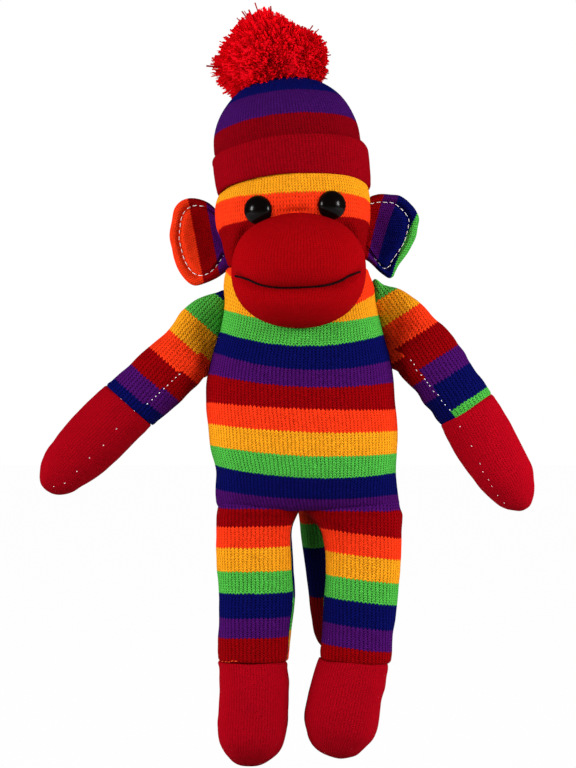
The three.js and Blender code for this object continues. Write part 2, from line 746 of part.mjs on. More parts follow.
// Legs: round where they turn under the seat, with a foot on a pinched ankle seam
const legShares = [
  [0, 1, 1.01, 0, 4], [0.12, 1, 1.01, 0, 3.2], [0.3, 0.985, 1, 0, 2.6], [0.55, 0.975, 1],
  [0.78, 0.95, 0.985], [0.92, 0.93, 0.96], [1, 0.92, 0.94],
];
const footShares = [
  [0, 0.97, 0.92, 0], [0.1, 1, 0.97, 0.2], [0.3, 1.01, 1, 0.6], [0.55, 1.01, 1.02, 1], [0.74, 0.95, 0.97, 1],
  [0.86, 0.79, 0.82, 0.9], [0.94, 0.57, 0.6, 0.8], [0.985, 0.3, 0.34, 0.7], [1, 0.13, 0.14, 0.7],
];
const down = new THREE.Vector3(0, 0, -1);
for (const { name, way, legLean, footTurn } of sides) {
  const hipAt = new THREE.Vector3(way * hipSpread + hipShift, 0, -hipDrop);
  const hip = limbFrame(hipAt, down, sideways);
  const leg = {
    length: legLength,
    halfWidth: legHalfWidth,
    halfDepth: legHalfDepth,
    bendRadius: legHalfWidth,
    bendAngle: legLean,
  };
  const foot = {
    length: footLength,
    halfWidth: footHalfWidth,
    halfDepth: footHalfDepth,
    bendRadius: footHalfWidth,
    bendAngle: footTurn,
    forward: -footForward,
  };
  const ankle = limbEnd(leg);
  const legForm = toSolid(stuffedForm(limbSections(legShares, leg), limbSides));
  const legSolid = withSocket(
    withPivot(legForm, legHalfWidth, hipRadius, 0, 4), ankle, footHalfWidth, ankleRadius, footBendLimit,
  );
  const footForm = toSolid(stuffedForm(limbSections(footShares, foot), limbSides));
  const footSolid = withPivot(footForm, footHalfWidth, ankleRadius, footBendLimit);
  doll.add(placedGroup(
    hip,
    pieceMesh(`leg_${name}`, legSolid, knit(yarns.navy)),
    placedGroup(ankle, pieceMesh(`foot_${name}`, footSolid, knit(yarns.red))),
  ));
}

// Tail: sewn to the back of the seat, hanging away from the legs
const tailShares = [
  [0, 1, 1], [0.1, 1.02, 1.02], [0.3, 1, 1], [0.55, 0.98, 0.98], [0.78, 0.95, 0.95], [0.9, 0.85, 0.85],
  [0.96, 0.62, 0.62], [0.99, 0.34, 0.34], [1, 0.16, 0.16],
];
const tailFrom = new THREE.Vector3(tailShift, farAway, -tailDrop);
const tailSeat = surfaceAt(torsoForm, tailFrom, new THREE.Vector3(0, -1, 0)).point;
tailSeat.y += tailRadius + seamGap;
const tailWay = new THREE.Vector3(0, Math.sin(tailSlope * degree), -Math.cos(tailSlope * degree));
const tail = {
  length: tailLength,
  halfWidth: tailRadius,
  halfDepth: tailRadius,
  bendRadius: 2 * tailRadius,
  bendAngle: tailLean,
};
const tailForm = toSolid(stuffedForm(limbSections(tailShares, tail), limbSides));
const tailSolid = withPivot(tailForm, tailRadius, tailRadius, 0, 2);
const tailFrame = limbFrame(tailSeat, tailWay, sideways);
doll.add(placedGroup(tailFrame, pieceMesh('tail', tailSolid, knit(yarns.green))));

export default doll;
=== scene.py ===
import math

import bpy
import numpy as np
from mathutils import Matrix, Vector, noise
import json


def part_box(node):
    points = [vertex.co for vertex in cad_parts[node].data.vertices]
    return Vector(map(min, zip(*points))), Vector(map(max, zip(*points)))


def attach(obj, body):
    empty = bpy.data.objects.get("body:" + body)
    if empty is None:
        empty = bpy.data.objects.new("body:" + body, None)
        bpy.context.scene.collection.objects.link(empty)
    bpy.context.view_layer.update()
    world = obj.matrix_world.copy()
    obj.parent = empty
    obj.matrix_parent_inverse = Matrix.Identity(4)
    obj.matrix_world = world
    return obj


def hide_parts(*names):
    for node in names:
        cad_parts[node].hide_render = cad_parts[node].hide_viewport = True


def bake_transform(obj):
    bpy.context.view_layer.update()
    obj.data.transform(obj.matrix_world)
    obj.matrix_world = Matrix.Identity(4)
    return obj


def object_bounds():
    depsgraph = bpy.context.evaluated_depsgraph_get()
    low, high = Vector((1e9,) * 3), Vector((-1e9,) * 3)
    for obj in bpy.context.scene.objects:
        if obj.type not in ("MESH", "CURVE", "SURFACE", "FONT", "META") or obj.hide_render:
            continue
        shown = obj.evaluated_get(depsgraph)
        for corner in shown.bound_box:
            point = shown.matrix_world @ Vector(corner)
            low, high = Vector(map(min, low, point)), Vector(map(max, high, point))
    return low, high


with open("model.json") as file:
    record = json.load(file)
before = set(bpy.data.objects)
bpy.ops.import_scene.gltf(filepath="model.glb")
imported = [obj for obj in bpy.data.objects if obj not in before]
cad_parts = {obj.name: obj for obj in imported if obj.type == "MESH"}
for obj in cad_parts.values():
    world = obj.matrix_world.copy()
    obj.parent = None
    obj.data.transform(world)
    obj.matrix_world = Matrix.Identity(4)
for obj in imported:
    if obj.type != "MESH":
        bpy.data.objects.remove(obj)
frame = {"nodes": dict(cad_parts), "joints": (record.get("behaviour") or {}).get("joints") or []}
solid_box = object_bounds()

# Camera: straight in front of the doll and level with its waist, on a long lens, upright frame.
mm = 0.001
lens_length = 135
film_height = 36
view_height = 430 * mm
camera_sideways, camera_up = -7.3 * mm, 9 * mm


def add_object(name, data):
    """Puts an object with this mesh, lamp or camera in the scene."""
    made = bpy.data.objects.new(name, data)
    bpy.context.scene.collection.objects.link(made)
    return made


camera_data = bpy.data.cameras.new("camera")
camera_data.lens = lens_length
camera_data.sensor_width = film_height
camera = add_object("camera", camera_data)
camera.location = (camera_sideways, -view_height * lens_length / film_height, camera_up)
camera.rotation_euler = (math.radians(90), 0, 0)
bpy.context.scene.camera = camera

# Studio: a white floor just under the feet and white air behind. Two large soft boxes stand far to the
# sides, so that round forms are brightest near their edges; two smaller cards are what the eyes mirror.
bpy.context.scene.view_settings.view_transform = "Standard"


class Signal:
    """An output of a node tree, on which more nodes are written as plain arithmetic."""

    def __init__(self, tree, socket=None):
        self.tree = tree
        self.socket = socket

    def node(self, kind, settings, values, output=0):
        """Adds one node: its settings first, then the value or link of each socket."""
        made = self.tree.nodes.new(kind)
        for name, value in settings.items():
            if name == "stops":
                made.color_ramp.interpolation = "CONSTANT"
                for index, (place, colour) in enumerate(value):
                    if index >= len(made.color_ramp.elements):
                        made.color_ramp.elements.new(place)
                    made.color_ramp.elements[index].position = place
                    made.color_ramp.elements[index].color = (*colour, 1)
            else:
                setattr(made, name, value)
        for name, value in values.items():
            if isinstance(value, Signal):
                self.tree.links.new(value.socket, made.inputs[name])
            else:
                made.inputs[name].default_value = value
        return Signal(self.tree, made.outputs[output]) if made.outputs else made

    def also(self, label):
        """Another output of the same node."""
        return Signal(self.tree, self.socket.node.outputs[label])

    def maths(self, operation, *values):
        return self.node("ShaderNodeMath", {"operation": operation}, dict(enumerate(values)))

    def vectors(self, operation, *values, output=0):
        return self.node("ShaderNodeVectorMath", {"operation": operation}, dict(enumerate(values)), output)

    def scaled(self, colour, level):
        """A colour or vector times a number."""
        return self.node("ShaderNodeVectorMath", {"operation": "SCALE"}, {0: colour, "Scale": level})

    def mottle(self, place, scale, detail):
        """Soft noise between 0 and 1."""
        return self.node("ShaderNodeTexNoise", {}, {"Vector": place, "Scale": scale, "Detail": detail})

    def at_least(self, low):
        return self.maths("MAXIMUM", self, low)

    def at_most(self, high):
        return self.maths("MINIMUM", self, high)

    def __add__(self, other):
        return self.maths("ADD", self, other)

    def __sub__(self, other):
        return self.maths("SUBTRACT", self, other)

    def __rsub__(self, other):
        return self.maths("SUBTRACT", other, self)

    def __mul__(self, other):
        return self.maths("MULTIPLY", self, other)

    def __truediv__(self, other):
        return self.maths("DIVIDE", self, other)

    def __pow__(self, other):
        return self.maths("POWER", self, other)

    def __abs__(self):
        return self.maths("ABSOLUTE", self)

    def __floor__(self):
        return self.maths("FLOOR", self)

    __radd__ = __add__
    __rmul__ = __mul__


def new_material(name):
    """A material with an empty node tree, and the signal that its nodes are added through."""
    material = bpy.data.materials.new(name)
    material.use_nodes = True
    material.node_tree.nodes.clear()
    return material, Signal(material.node_tree)


def paper(name, grey, glow):
    """White studio paper: it catches the doll's shadow, and glows a little for the camera."""
    material, start = new_material(name)
    ray = start.node("ShaderNodeLightPath", {}, {}, "Is Camera Ray")
    matt = start.node("ShaderNodeBsdfDiffuse", {}, {"Color": (grey, grey, grey, 1)})
    light = start.node("ShaderNodeEmission", {}, {"Color": (1, 1, 1, 1), "Strength": 1})
    mixed = start.node("ShaderNodeMixShader", {}, {0: ray * glow, 1: matt, 2: light})
    start.node("ShaderNodeOutputMaterial", {}, {"Surface": mixed})
    return material


floor_gap = 0.5 * mm
floor_height = solid_box[0].z - floor_gap
floor_reach = 6
floor_mesh = bpy.data.meshes.new("floor")
floor_mesh.from_pydata(
    [(x * floor_reach, y * floor_reach, floor_height) for x, y in ((-1, -1), (1, -1), (1, 1), (-1, 1))],
    [],
    [(0, 1, 2, 3)],
)
floor_mesh.materials.append(paper("floor_paper", 0.58, 0.985))
add_object("floor", floor_mesh)
world = bpy.data.worlds.new("studio")
world.use_nodes = True
world.node_tree.nodes.clear()
sky = Signal(world.node_tree)
camera_ray = sky.node("ShaderNodeLightPath", {}, {}, "Is Camera Ray")
ambient = 0.07
strength = ambient + (camera_ray + camera_ray.also("Is Transmission Ray")) * (1 - ambient)
air = sky.node("ShaderNodeBackground", {}, {"Color": (1, 1, 1, 1), "Strength": strength})
sky.node("ShaderNodeOutputWorld", {}, {"Surface": air})
bpy.context.scene.world = world

# Each lamp: place, width and height, power in watts
for label, place, size, power in (
    ("left_box", (-1.5, -0.42, 0.42), (1.0, 1.1), 20.5),
    ("right_box", (1.5, -0.42, 0.40), (1.0, 1.1), 21.5),
    ("left_card", (-1.2, -0.8, 0.34), (0.25, 0.40), 12),
    ("right_card", (1.2, -0.8, 0.34), (0.25, 0.40), 12),
    ("overhead", (0, -0.7, 1.5), (0.8, 0.5), 3),
):
    lamp_data = bpy.data.lights.new(label, "AREA")
    lamp_data.shape = "RECTANGLE"
    lamp_data.size, lamp_data.size_y = size
    lamp_data.energy = power
    lamp = add_object(label, lamp_data)
    lamp.visible_glossy = label.endswith("card")
    lamp.location = place
    lamp.rotation_euler = (-Vector(place)).to_track_quat("-Z", "Y").to_euler()

# Torso: the leg of a striped sock, filled firmly. The skin is stockinette, about twelve stitches to the
# inch, and its stripes sag across the belly and run straight round the back.
joints = {joint["name"]: joint for joint in frame["joints"]}
# Height of one course of stitches and width of one wale, in millimetres
course = 1.5
wale = 2.3
yarn = {
    "green": (0.050, 0.425, 0.034),
    "navy": (0.0022, 0.0035, 0.085),
    "purple": (0.060, 0.0045, 0.115),
    "red": (0.245, 0.0006, 0.0020),
    "orange": (0.86, 0.036, 0.0066),
    "yellow": (0.84, 0.31, 0.0095),
    "plum": (0.042, 0.0040, 0.095),
    "wine": (0.18, 0.0004, 0.0036),
    "claret": (0.235, 0.0006, 0.0042),
    "heel": (0.29, 0.0007, 0.0024),
    "crimson": (0.295, 0.0009, 0.0060),
    # The two hands share one red yarn: the darker red is painted shade and the lighter red is painted
    # light.
    "hand_red_shaded": (0.27, 0.0008, 0.0050),
    "hand_red_lit": (0.345, 0.0011, 0.0070),
}


def smoothed(rows, count):
    """Rows of numbers joined by one smooth curve and read at even steps along its first two columns."""
    rows = np.array(rows, float)
    steps = np.linalg.norm(np.diff(rows[:, :2], axis=0), axis=1)
    knots = np.concatenate([[0], np.cumsum(steps)])
    slopes = np.gradient(rows, knots, axis=0)
    places = np.linspace(0, knots[-1], count)
    k = np.clip(np.searchsorted(knots, places, side="right") - 1, 0, len(knots) - 2)
    width = (knots[k + 1] - knots[k])[:, None]
    t = (places - knots[k])[:, None] / width
    start = (1 + 2 * t) * (1 - t) ** 2 * rows[k] + t * (1 - t) ** 2 * width * slopes[k]
    return start + t * t * (3 - 2 * t) * rows[k + 1] + t * t * (t - 1) * width * slopes[k + 1]


def around(count, power=2.25):
    """Points of a rounded outline of half size 1, as (across, deep), starting at the back."""
    turn = np.linspace(0, 2 * math.pi, count, endpoint=False) + math.pi / 2
    power = np.asarray(power, float)[..., None]
    c, s = np.cos(turn), np.sin(turn)
    return np.sign(c) * np.abs(c) ** (2 / power), np.sign(s) * np.abs(s) ** (2 / power)


def lumps(points, size, height):
    """Soft unevenness of the filling, at one size of lump: how far each point stands out."""
    flat = points.reshape(-1, 3) / (size * mm)
    return np.array([noise.noise(p) for p in flat]).reshape(points.shape[:-1]) * height * mm


def outward(points):
    """Which way is out, at each point of a form made of rings."""
    along = np.gradient(points, axis=0)
    round_ring = np.roll(points, -1, axis=1) - np.roll(points, 1, axis=1)
    normal = np.cross(round_ring, along)
    normal /= np.linalg.norm(normal, axis=2, keepdims=True) + 1e-12
    centre = points.mean(axis=1, keepdims=True)
    if ((points - centre) * normal).sum() < 0:
        normal = -normal
    return normal


def filled_out(points, *sizes):
    """The points pushed out by lumps of filling, given as pairs of a size and a height in millimetres."""
    height = sum(lumps(points, size, tall) for size, tall in sizes)
    return points + outward(points) * height[..., None]


def skin(name, points, courses, material, wales, across=None, panel=None):
    """A closed skin over rings of points. Its knit map counts wales round the form and courses along it.

    Wales are spread evenly round each ring, or given as `across`. A panel is a run of columns and the
    courses that it has instead."""
    rows, columns = points.shape[:2]
    flat = points.reshape(-1, 3)
    ends = np.array([points[0].mean(axis=0), points[-1].mean(axis=0)])
    ring = np.arange(columns)
    following = (ring + 1) % columns
    low = (np.arange(rows - 1) * columns)[:, None]
    quads = np.stack([low + ring, low + following, low + columns + following, low + columns + ring], axis=2)
    last = (rows - 1) * columns
    caps = [(rows * columns, b, a) for a, b in zip(ring, following)]
    caps += [(rows * columns + 1, last + a, last + b) for a, b in zip(ring, following)]
    faces = quads.reshape(-1, 4).tolist() + caps
    corner = flat[quads.reshape(-1, 4)[:, :3]]
    area = np.cross(corner[:, 1] - corner[:, 0], corner[:, 2] - corner[:, 0])
    if (area * (corner[:, 0] - flat.mean(axis=0))).sum() < 0:
        faces = [tuple(reversed(face)) for face in faces]
    mesh = bpy.data.meshes.new(name)
    mesh.from_pydata(np.concatenate([flat, ends]).tolist(), [], faces)
    steps = np.linalg.norm(np.roll(points, -1, axis=1) - points, axis=2) + 1e-9
    share = np.concatenate([np.zeros((rows, 1)), np.cumsum(steps, axis=1)], axis=1)
    share = share / share[:, -1:] * wales
    if across is not None:
        share = np.concatenate([across, across[:, :1]], axis=1)
    wide = np.concatenate([courses, courses[:, :1]], axis=1)
    on_panel, other = panel if panel else (np.zeros(columns, bool), courses)
    other = np.concatenate([other, other[:, :1]], axis=1)
    corners = np.array([loop.vertex_index for loop in mesh.loops])
    face_of = np.repeat(np.arange(len(faces)), [len(face) for face in faces])
    row = np.clip(corners // columns, 0, rows - 1)
    column = corners % columns
    quad_column = face_of % columns
    wrapped = np.where((quad_column == columns - 1) & (column == 0), columns, column)
    tip = corners >= rows * columns
    row = np.where(tip, np.where(corners == rows * columns, 0, rows - 1), row)
    wrapped = np.where(tip, quad_column, wrapped)
    knit_map = mesh.uv_layers.new(name="knit")
    down = np.where(on_panel[quad_column], other[row, wrapped], wide[row, wrapped])
    pairs = np.stack([share[row, wrapped], down], axis=1)
    knit_map.data.foreach_set("uv", pairs.astype(np.float32).ravel())
    mesh.materials.append(material)
    mesh.shade_smooth()
    return add_object(name, mesh)


def surface(start, colour, roughness, shine, relief):
    """The shader that every material of the doll is built on."""
    return start.node(
        "ShaderNodeBsdfPrincipled",
        {},
        {"Base Color": colour, "Roughness": roughness, "Specular IOR Level": shine, "Normal": relief},
    )


def knit(name, stripes, depth=0.5, pit=0.04, slope=0.75, fineness=1, grain=1, painted_dimming=1):
    """Stockinette: columns of stitches with a row of dark pits between each two, coloured course by course.

    Stripes are (yarn, courses) pairs in order; a stripe changes between whole stitches, so its edge is
    scalloped. Depth is how far the relief goes, pit how light its pits stay, slope how steep the legs of a
    stitch are; fineness makes stitches smaller, grain strengthens their unevenness, and the dimming factor
    darkens all, as painted shade."""
    material, start = new_material(name)
    place = start.node("ShaderNodeUVMap", {"uv_map": "knit"}, {})
    u = start.node("ShaderNodeSeparateXYZ", {}, {"Vector": place}, "X")
    v = u.also("Y")
    wobble = start.mottle(place, 0.35, 2.0)
    u = u * fineness + (wobble - 0.5) * 0.5
    v = v + (wobble - 0.5) * 0.8
    column = math.floor(u)
    side = abs(u - column - 0.5) * 2
    lifted = v * fineness - side * slope
    row = math.floor(lifted)
    turn = abs((lifted - row) * 2 - 1)
    gutter = side**1.3
    hollow = gutter * (0.1 + 1.1 * turn**1.1)
    heart = (1 - side) ** 6
    height = 1 - hollow - heart * (0.1 + 0.3 * turn) - 0.2 * turn**3 * (1 - gutter)
    total = sum(count for _, count in stripes)
    stops, reached = [], 0
    for colour, count in stripes:
        stops.append((reached / total, yarn[colour]))
        reached += count
    dyed = start.node("ShaderNodeValToRGB", {"stops": stops}, {"Fac": (row + 0.5) / (total * fineness)})
    stitch = start.node("ShaderNodeCombineXYZ", {}, {"X": column, "Y": row})
    speck = start.node("ShaderNodeTexWhiteNoise", {"noise_dimensions": "3D"}, {"Vector": stitch})
    fibre = start.mottle(place, 7.0, 3.0)
    # The pits of red, orange and yellow yarn fill with light that its fibres pass on
    warmth = start.vectors("DOT_PRODUCT", dyed, (1.3, -2.6, 0), output=1)
    filled = warmth.at_least(pit).at_most(max(0.4, pit))
    # The stitch relief darkens the yarn's colour in its pits and gutters: painted shade.
    shown = (height + filled * (1 - height)).at_least(0.02) * painted_dimming
    shade = shown * (1.16 + ((speck - 0.5) * 0.2 + (fibre - 0.5) * 0.5) * grain)
    # The green yarn has pale glints on the two legs of each stitch
    leg = (1.2 - abs(side - 0.5) * 2.8).at_least(0)
    greenness = start.vectors("DOT_PRODUCT", dyed, (-1, 1, 0), output=1)
    glint = greenness.at_least(0) * leg * (1 - turn) * (0.17 * painted_dimming)
    tinted = start.vectors("ADD", start.scaled(dyed, shade), start.scaled((1, 1, 1), glint))
    relief = start.node(
        "ShaderNodeBump", {}, {"Strength": 1, "Distance": depth * mm, "Height": height + fibre * 0.3}
    )
    cloth = surface(start, tinted, 0.9, 0.02, relief)
    start.node("ShaderNodeOutputMaterial", {}, {"Surface": cloth})
    return material


def stuffed(node):
    """Hides the solid that a filled piece stands for."""
    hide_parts(node)


torso_shape = [
    # height, half width, half depth, sideways
    (-59.8, 42, 17, 4.1), (-59.95, 50.2, 23, 4.1), (-58.4, 51.1, 25.6, 4), (-54.9, 51.2, 28.4, 3.5),
    (-48, 50.8, 31.4, 3.2),
    (-41.4, 50.4, 33.6, 3), (-28, 52.3, 35.8, 1.9), (-14.6, 53.1, 36, 1.1), (-1, 53.1, 35.8, 0),
    (12.3, 52.1, 35, -0.2), (25.8, 49.4, 33.8, 0.2), (39.2, 45.6, 31.6, 0.2), (49, 43.4, 30.2, -0.2),
    (56, 42.3, 29.2, -0.5), (64, 42.0, 28.4, -1.0), (70, 40.3, 27.2, -1.6), (73.2, 39.0, 26.4, -1.7),
    (74, 37.2, 24.6, -1.2),
]
# Heights of the stripes' edges at the doll's right side, its middle and its left side
torso_stripes = [
    ("red", 88, 84, 88), ("orange", 80, 66, 78), ("yellow", 73, 48, 62), ("green", 50.9, 42.9, 48.2),
    ("navy", 37.7, 30.3, 36.6), ("purple", 25, 17.2, 21.1), ("red", 13.4, 7.9, 9.6),
    ("orange", -1.5, -4.1, -4.8), ("yellow", -13.6, -16.8, -16.9), ("green", -25.8, -29.9, -29.6),
    ("navy", -36.8, -41.9, -40.7), ("purple", -50, -54, -52.8), ("red", -59.5, -62, -61.5),
]
stripe_columns = np.array([-42.6, 1.1, 44.2])
stripe_courses = 9


def courses_between(level, heights, counts):
    """Courses down to each point, from how high each stripe's edge is there and the count at each edge."""
    k = np.clip((heights > level[..., None]).sum(axis=-1) - 1, 0, heights.shape[-1] - 2)
    top = np.take_along_axis(heights, k[..., None], axis=-1)[..., 0]
    foot = np.take_along_axis(heights, k[..., None] + 1, axis=-1)[..., 0]
    return counts[k] + (counts[k + 1] - counts[k]) * (top - level) / (top - foot)


def torso_courses(points):
    """How many courses down each point lies, reading the sagging edges of the stripes."""
    x = np.clip(points[..., 0] / mm, -50, 50)
    a, b, c = stripe_columns
    weights = [
        (x - b) * (x - c) / ((a - b) * (a - c)),
        (x - a) * (x - c) / ((b - a) * (b - c)),
        (x - a) * (x - b) / ((c - a) * (c - b)),
    ]
    edges = np.array([row[1:] for row in torso_stripes])
    sagging = sum(w[..., None] * edges[:, k] for k, w in enumerate(weights))
    straight = edges[:, 0] + (edges[:, 2] - edges[:, 0]) * ((x - a) / (c - a))[..., None]
    in_front = np.clip(0.5 - points[..., 1:2] / (16 * mm), 0, 1)
    heights = straight + (sagging - straight) * in_front
    return courses_between(points[..., 2] / mm, heights, np.arange(len(edges)) * stripe_courses)


torso_rings = smoothed(torso_shape, 190)
across, deep = around(176)
torso_points = np.stack(
    [
        torso_rings[:, 1:2] * across + torso_rings[:, 3:4],
        torso_rings[:, 2:3] * deep,
        torso_rings[:, 0:1] + 0 * across,
    ],
    axis=2,
) * mm
torso_points = filled_out(torso_points, (30, 1.1), (11, 0.35))
torso = skin(
    "torso_skin",
    torso_points,
    torso_courses(torso_points),
    knit("torso_knit", [(row[0], stripe_courses) for row in torso_stripes]),
    130,
)
stuffed("torso")
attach(torso, "torso")

# Legs and feet: the rest of the sock, slit up the middle and sewn into two tubes. The stripes meet badly
# on the inner seam. Each foot is the sock's plain red end, past a drawn-in ankle seam.


def limb_frame(joint, way):
    """Origin, the way along the limb, the way through it, and its seam line, from its joint."""
    hinge = np.array(joint["axis"], float)
    along = way * np.array([hinge[2], 0, -hinge[0]])
    return np.array(joint["pos_m"], float), along, np.cross(hinge, along), hinge


def limb_points(placed, rings, bend_radius, bend, columns):
    """Rings of points about a limb's centre line: an arc away from its root, then straight on."""
    origin, along, deep_way, hinge = placed
    distance = rings[:, 0]
    turned = np.clip(distance / bend_radius, 0, abs(bend))
    beyond = np.maximum(distance - bend_radius * abs(bend), 0)
    sign = np.sign(bend) or 1
    x = bend_radius * np.sin(turned) + beyond * np.cos(turned) + np.minimum(distance, 0)
    z = -sign * (bend_radius * (1 - np.cos(turned)) + beyond * np.sin(turned))
    across_way = sign * np.sin(turned)[:, None] * along + np.cos(turned)[:, None] * hinge
    centre = origin / mm + x[:, None] * along + z[:, None] * hinge + rings[:, 3:4] * deep_way
    centre = centre + rings[:, 5:6] * across_way
    wide, thick = around(columns, rings[:, 4])
    wide, thick = rings[:, 1:2] * wide, rings[:, 2:3] * thick
    return (centre[:, None] + wide[..., None] * across_way[:, None] + thick[..., None] * deep_way) * mm


def panel_tube(edges, count, columns, way):
    """Rings between the two edges of a tube's outline, and the wales across its front and back panels.

    Each row is an outer x, z and an inner x, z, the half depth and the squareness."""
    rings = smoothed(edges, count)
    outer, inner = rings[:, 0:2], rings[:, 2:4]
    middle, half = (outer + inner) / 2, (outer - inner) / 2
    wide, thick = around(columns, rings[:, 5])
    x = middle[:, :1] + half[:, :1] * wide
    z = middle[:, 1:] + half[:, 1:] * wide
    points = np.stack([x, rings[:, 4:5] * thick, z], axis=2)
    steps = np.linalg.norm(np.roll(points, -1, axis=1) - points, axis=2)
    walked = np.cumsum(steps, axis=1) - steps
    whole = steps.sum(axis=1, keepdims=True)
    from_middle = np.minimum(np.minimum(walked, whole - walked), abs(walked - whole / 2))
    slack = from_middle - abs(wide) * np.linalg.norm(half, axis=1, keepdims=True)
    flat = points @ way
    wales = (flat + np.sign(wide) * np.sign(half @ way[[0, 2]])[:, None] * slack) / wale
    return points * mm, wales


def thread_material(name, colour, roughness):
    """Twisted sewing thread: fine slanting ribs and a little unevenness in its colour."""
    material, start = new_material(name)
    place = start.node("ShaderNodeTexCoord", {}, {}, "Object")
    twist = start.mottle(place, 2600.0, 2.0)
    dyed = start.scaled(colour, 0.75 + twist * 0.5)
    relief = start.node("ShaderNodeBump", {}, {"Strength": 0.6, "Distance": 0.1 * mm, "Height": twist})
    cloth = surface(start, dyed, roughness, 0.1, relief)
    start.node("ShaderNodeOutputMaterial", {}, {"Surface": cloth})
    return material


def seam_dots(name, skin_points, spots, thread, length, thickness):
    """Short stitches that show on the front of a skin, at these x and z in millimetres, in order."""
    flat = skin_points.reshape(-1, 3)
    front = flat[flat[:, 1] < 0]
    spots = np.array(spots) * mm
    along_seam = np.gradient(spots, axis=0)
    along_seam /= np.linalg.norm(along_seam, axis=1, keepdims=True)
    rounds, sides = 6, 8
    fall = np.linspace(0, math.pi, rounds)[:, None]
    spin = np.linspace(0, 2 * math.pi, sides, endpoint=False)
    long_way = np.cos(fall) + 0 * spin
    side_way = np.sin(fall) * np.cos(spin)
    out_way = np.sin(fall) * np.sin(spin)
    neighbours = [(c, (c + 1) % sides) for c in range(sides)]
    verts, faces = [], []
    for spot, way in zip(spots, along_seam):
        seat = front[np.argmin(np.linalg.norm(front[:, [0, 2]] - spot, axis=1))]
        ahead, aside = np.array([way[0], 0, way[1]]), np.array([-way[1], 0, way[0]])
        bead = long_way[..., None] * ahead * length + side_way[..., None] * aside * thickness
        bead = bead + out_way[..., None] * np.array([0, 1, 0]) * thickness
        for r in range(rounds - 1):
            this, below = len(verts) + r * sides, len(verts) + (r + 1) * sides
            faces += [(this + c, this + d, below + d, below + c) for c, d in neighbours]
        verts += (seat + bead.reshape(-1, 3) * mm / 2).tolist()
    mesh = bpy.data.meshes.new(name)
    mesh.from_pydata(verts, [], faces)
    mesh.materials.append(thread)
    mesh.shade_smooth()
    return add_object(name, mesh)


leg_edges = {
    # outer x, z and inner x, z of the outline, half depth, squareness
    "right": [
        (-39, -54, -8, -54, 10, 2.4), (-41.5, -54.6, -3, -54.6, 16, 2.4),
        (-46.2, -57.6, -1, -57.6, 21, 2.4), (-46.9, -60.4, -0.3, -60.4, 24, 2.6),
        (-47.5, -64.5, -2.1, -64.5, 22.8, 2.7), (-47.5, -70, -4.4, -70, 21.8, 2.6),
        (-47.4, -81.8, -5.2, -81.8, 20.4, 2.4),
        (-47, -95.2, -4.1, -95.2, 19.8, 2.3), (-46, -108.6, -3.3, -108.6, 19.4, 2.25),
        (-45.8, -122.1, -4.6, -122.1, 19, 2.25),
        (-46.3, -135.5, -6.1, -135.5, 18.6, 2.25), (-46.4, -142.5, -6.8, -142.5, 18.2, 2.25),
        (-46, -145.2, -7.2, -145.2, 17.8, 2.25), (-45.2, -145.9, -8, -145.9, 17, 2.25),
    ],
    "left": [
        (44, -54, 8, -54, 10, 2.4), (47.5, -54.6, 3, -54.6, 16, 2.4), (54.2, -57.6, 1, -57.6, 21, 2.4),
        (54.9, -60.4, 0.2, -60.4, 24, 2.6),
        (56.3, -64, 3.5, -64, 22.8, 2.7), (56.4, -67.2, 6.9, -67.2, 22.2, 2.6),
        (56.4, -71.7, 10.7, -71.7, 21.6, 2.5),
        (56.5, -81.2, 13.3, -81.2, 20.4, 2.4), (56, -95.2, 13.3, -95.2, 19.8, 2.3),
        (54.4, -108.6, 13, -108.6, 19.4, 2.25),
        (53, -122.1, 12.4, -122.1, 19, 2.25), (51.4, -135.5, 11.6, -135.5, 18.6, 2.25),
        (50.6, -144.2, 11, -142.2, 18.2, 2.25),
        (50.1, -146.2, 11.3, -144.2, 17.8, 2.25), (49.2, -147, 12.2, -144.9, 17, 2.25),
    ],
}
foot_shape = {
    # distance, half width, half depth, forwards, squareness, sideways
    "right": [
        (0, 18.6, 17, 0, 2.25, -1.1), (0.6, 19.4, 17.7, 0.1, 2.25, -1.1), (4, 19.3, 18.4, 0.6, 2.25, -0.8),
        (12, 19.7, 19.1, 1.6, 2.25, -0.1), (24, 19.7, 19.4, 2.4, 2.25, 0.1),
        (36, 19.6, 19.4, 3, 2.25, -0.2),
        (42, 19, 18.9, 3, 2.25, -0.7), (46, 17.9, 17.8, 3, 2.2, -0.8), (50, 15.7, 15.8, 2.8, 2.15, -0.8),
        (54, 12.1, 12.4, 2.6, 2.1, -1.2), (56.4, 9.3, 9.4, 2.4, 2, -1.7), (58, 5.6, 5.6, 2.3, 2, -2),
        (58.5, 2, 2, 2.3, 2, -2),
    ],
    "left": [
        (0, 18.2, 17, 0, 2.25, -1.6), (0.6, 19.0, 17.7, 0.1, 2.25, -1.8), (4, 19.5, 18.4, 0.6, 2.25, -2),
        (10, 20.2, 19, 1.4, 2.25, -2.1), (18, 20.5, 19.4, 2, 2.25, -2.4), (26, 21, 19.5, 2.6, 2.25, -2.2),
        (34, 20.8, 19.4, 3, 2.25, -2), (40, 19.3, 18.8, 3, 2.25, -1.8), (44, 17.3, 17.3, 3, 2.2, -1.7),
        (48, 15.2, 15.3, 2.8, 2.15, -1.6), (51, 12.8, 13, 2.6, 2.1, -1.2), (53.6, 8.6, 9, 2.4, 2, -0.6),
        (55, 4.8, 5, 2.3, 2, -0.3), (55.5, 1.8, 1.8, 2.3, 2, -0.3),
    ],
}
# Heights of the stripes' edges on each leg, how far they slant, and the x where they were read
leg_stripes = {
    "right": ([-45, -59.6, -69.6, -81.2, -94.5, -106.6, -120.5, -131.5, -143.5], 0.02, -28.6),
    "left": ([-45, -60.7, -73.4, -85.6, -98.9, -111.1, -125.5, -137.6, -149.6], -0.13, 31.9),
}
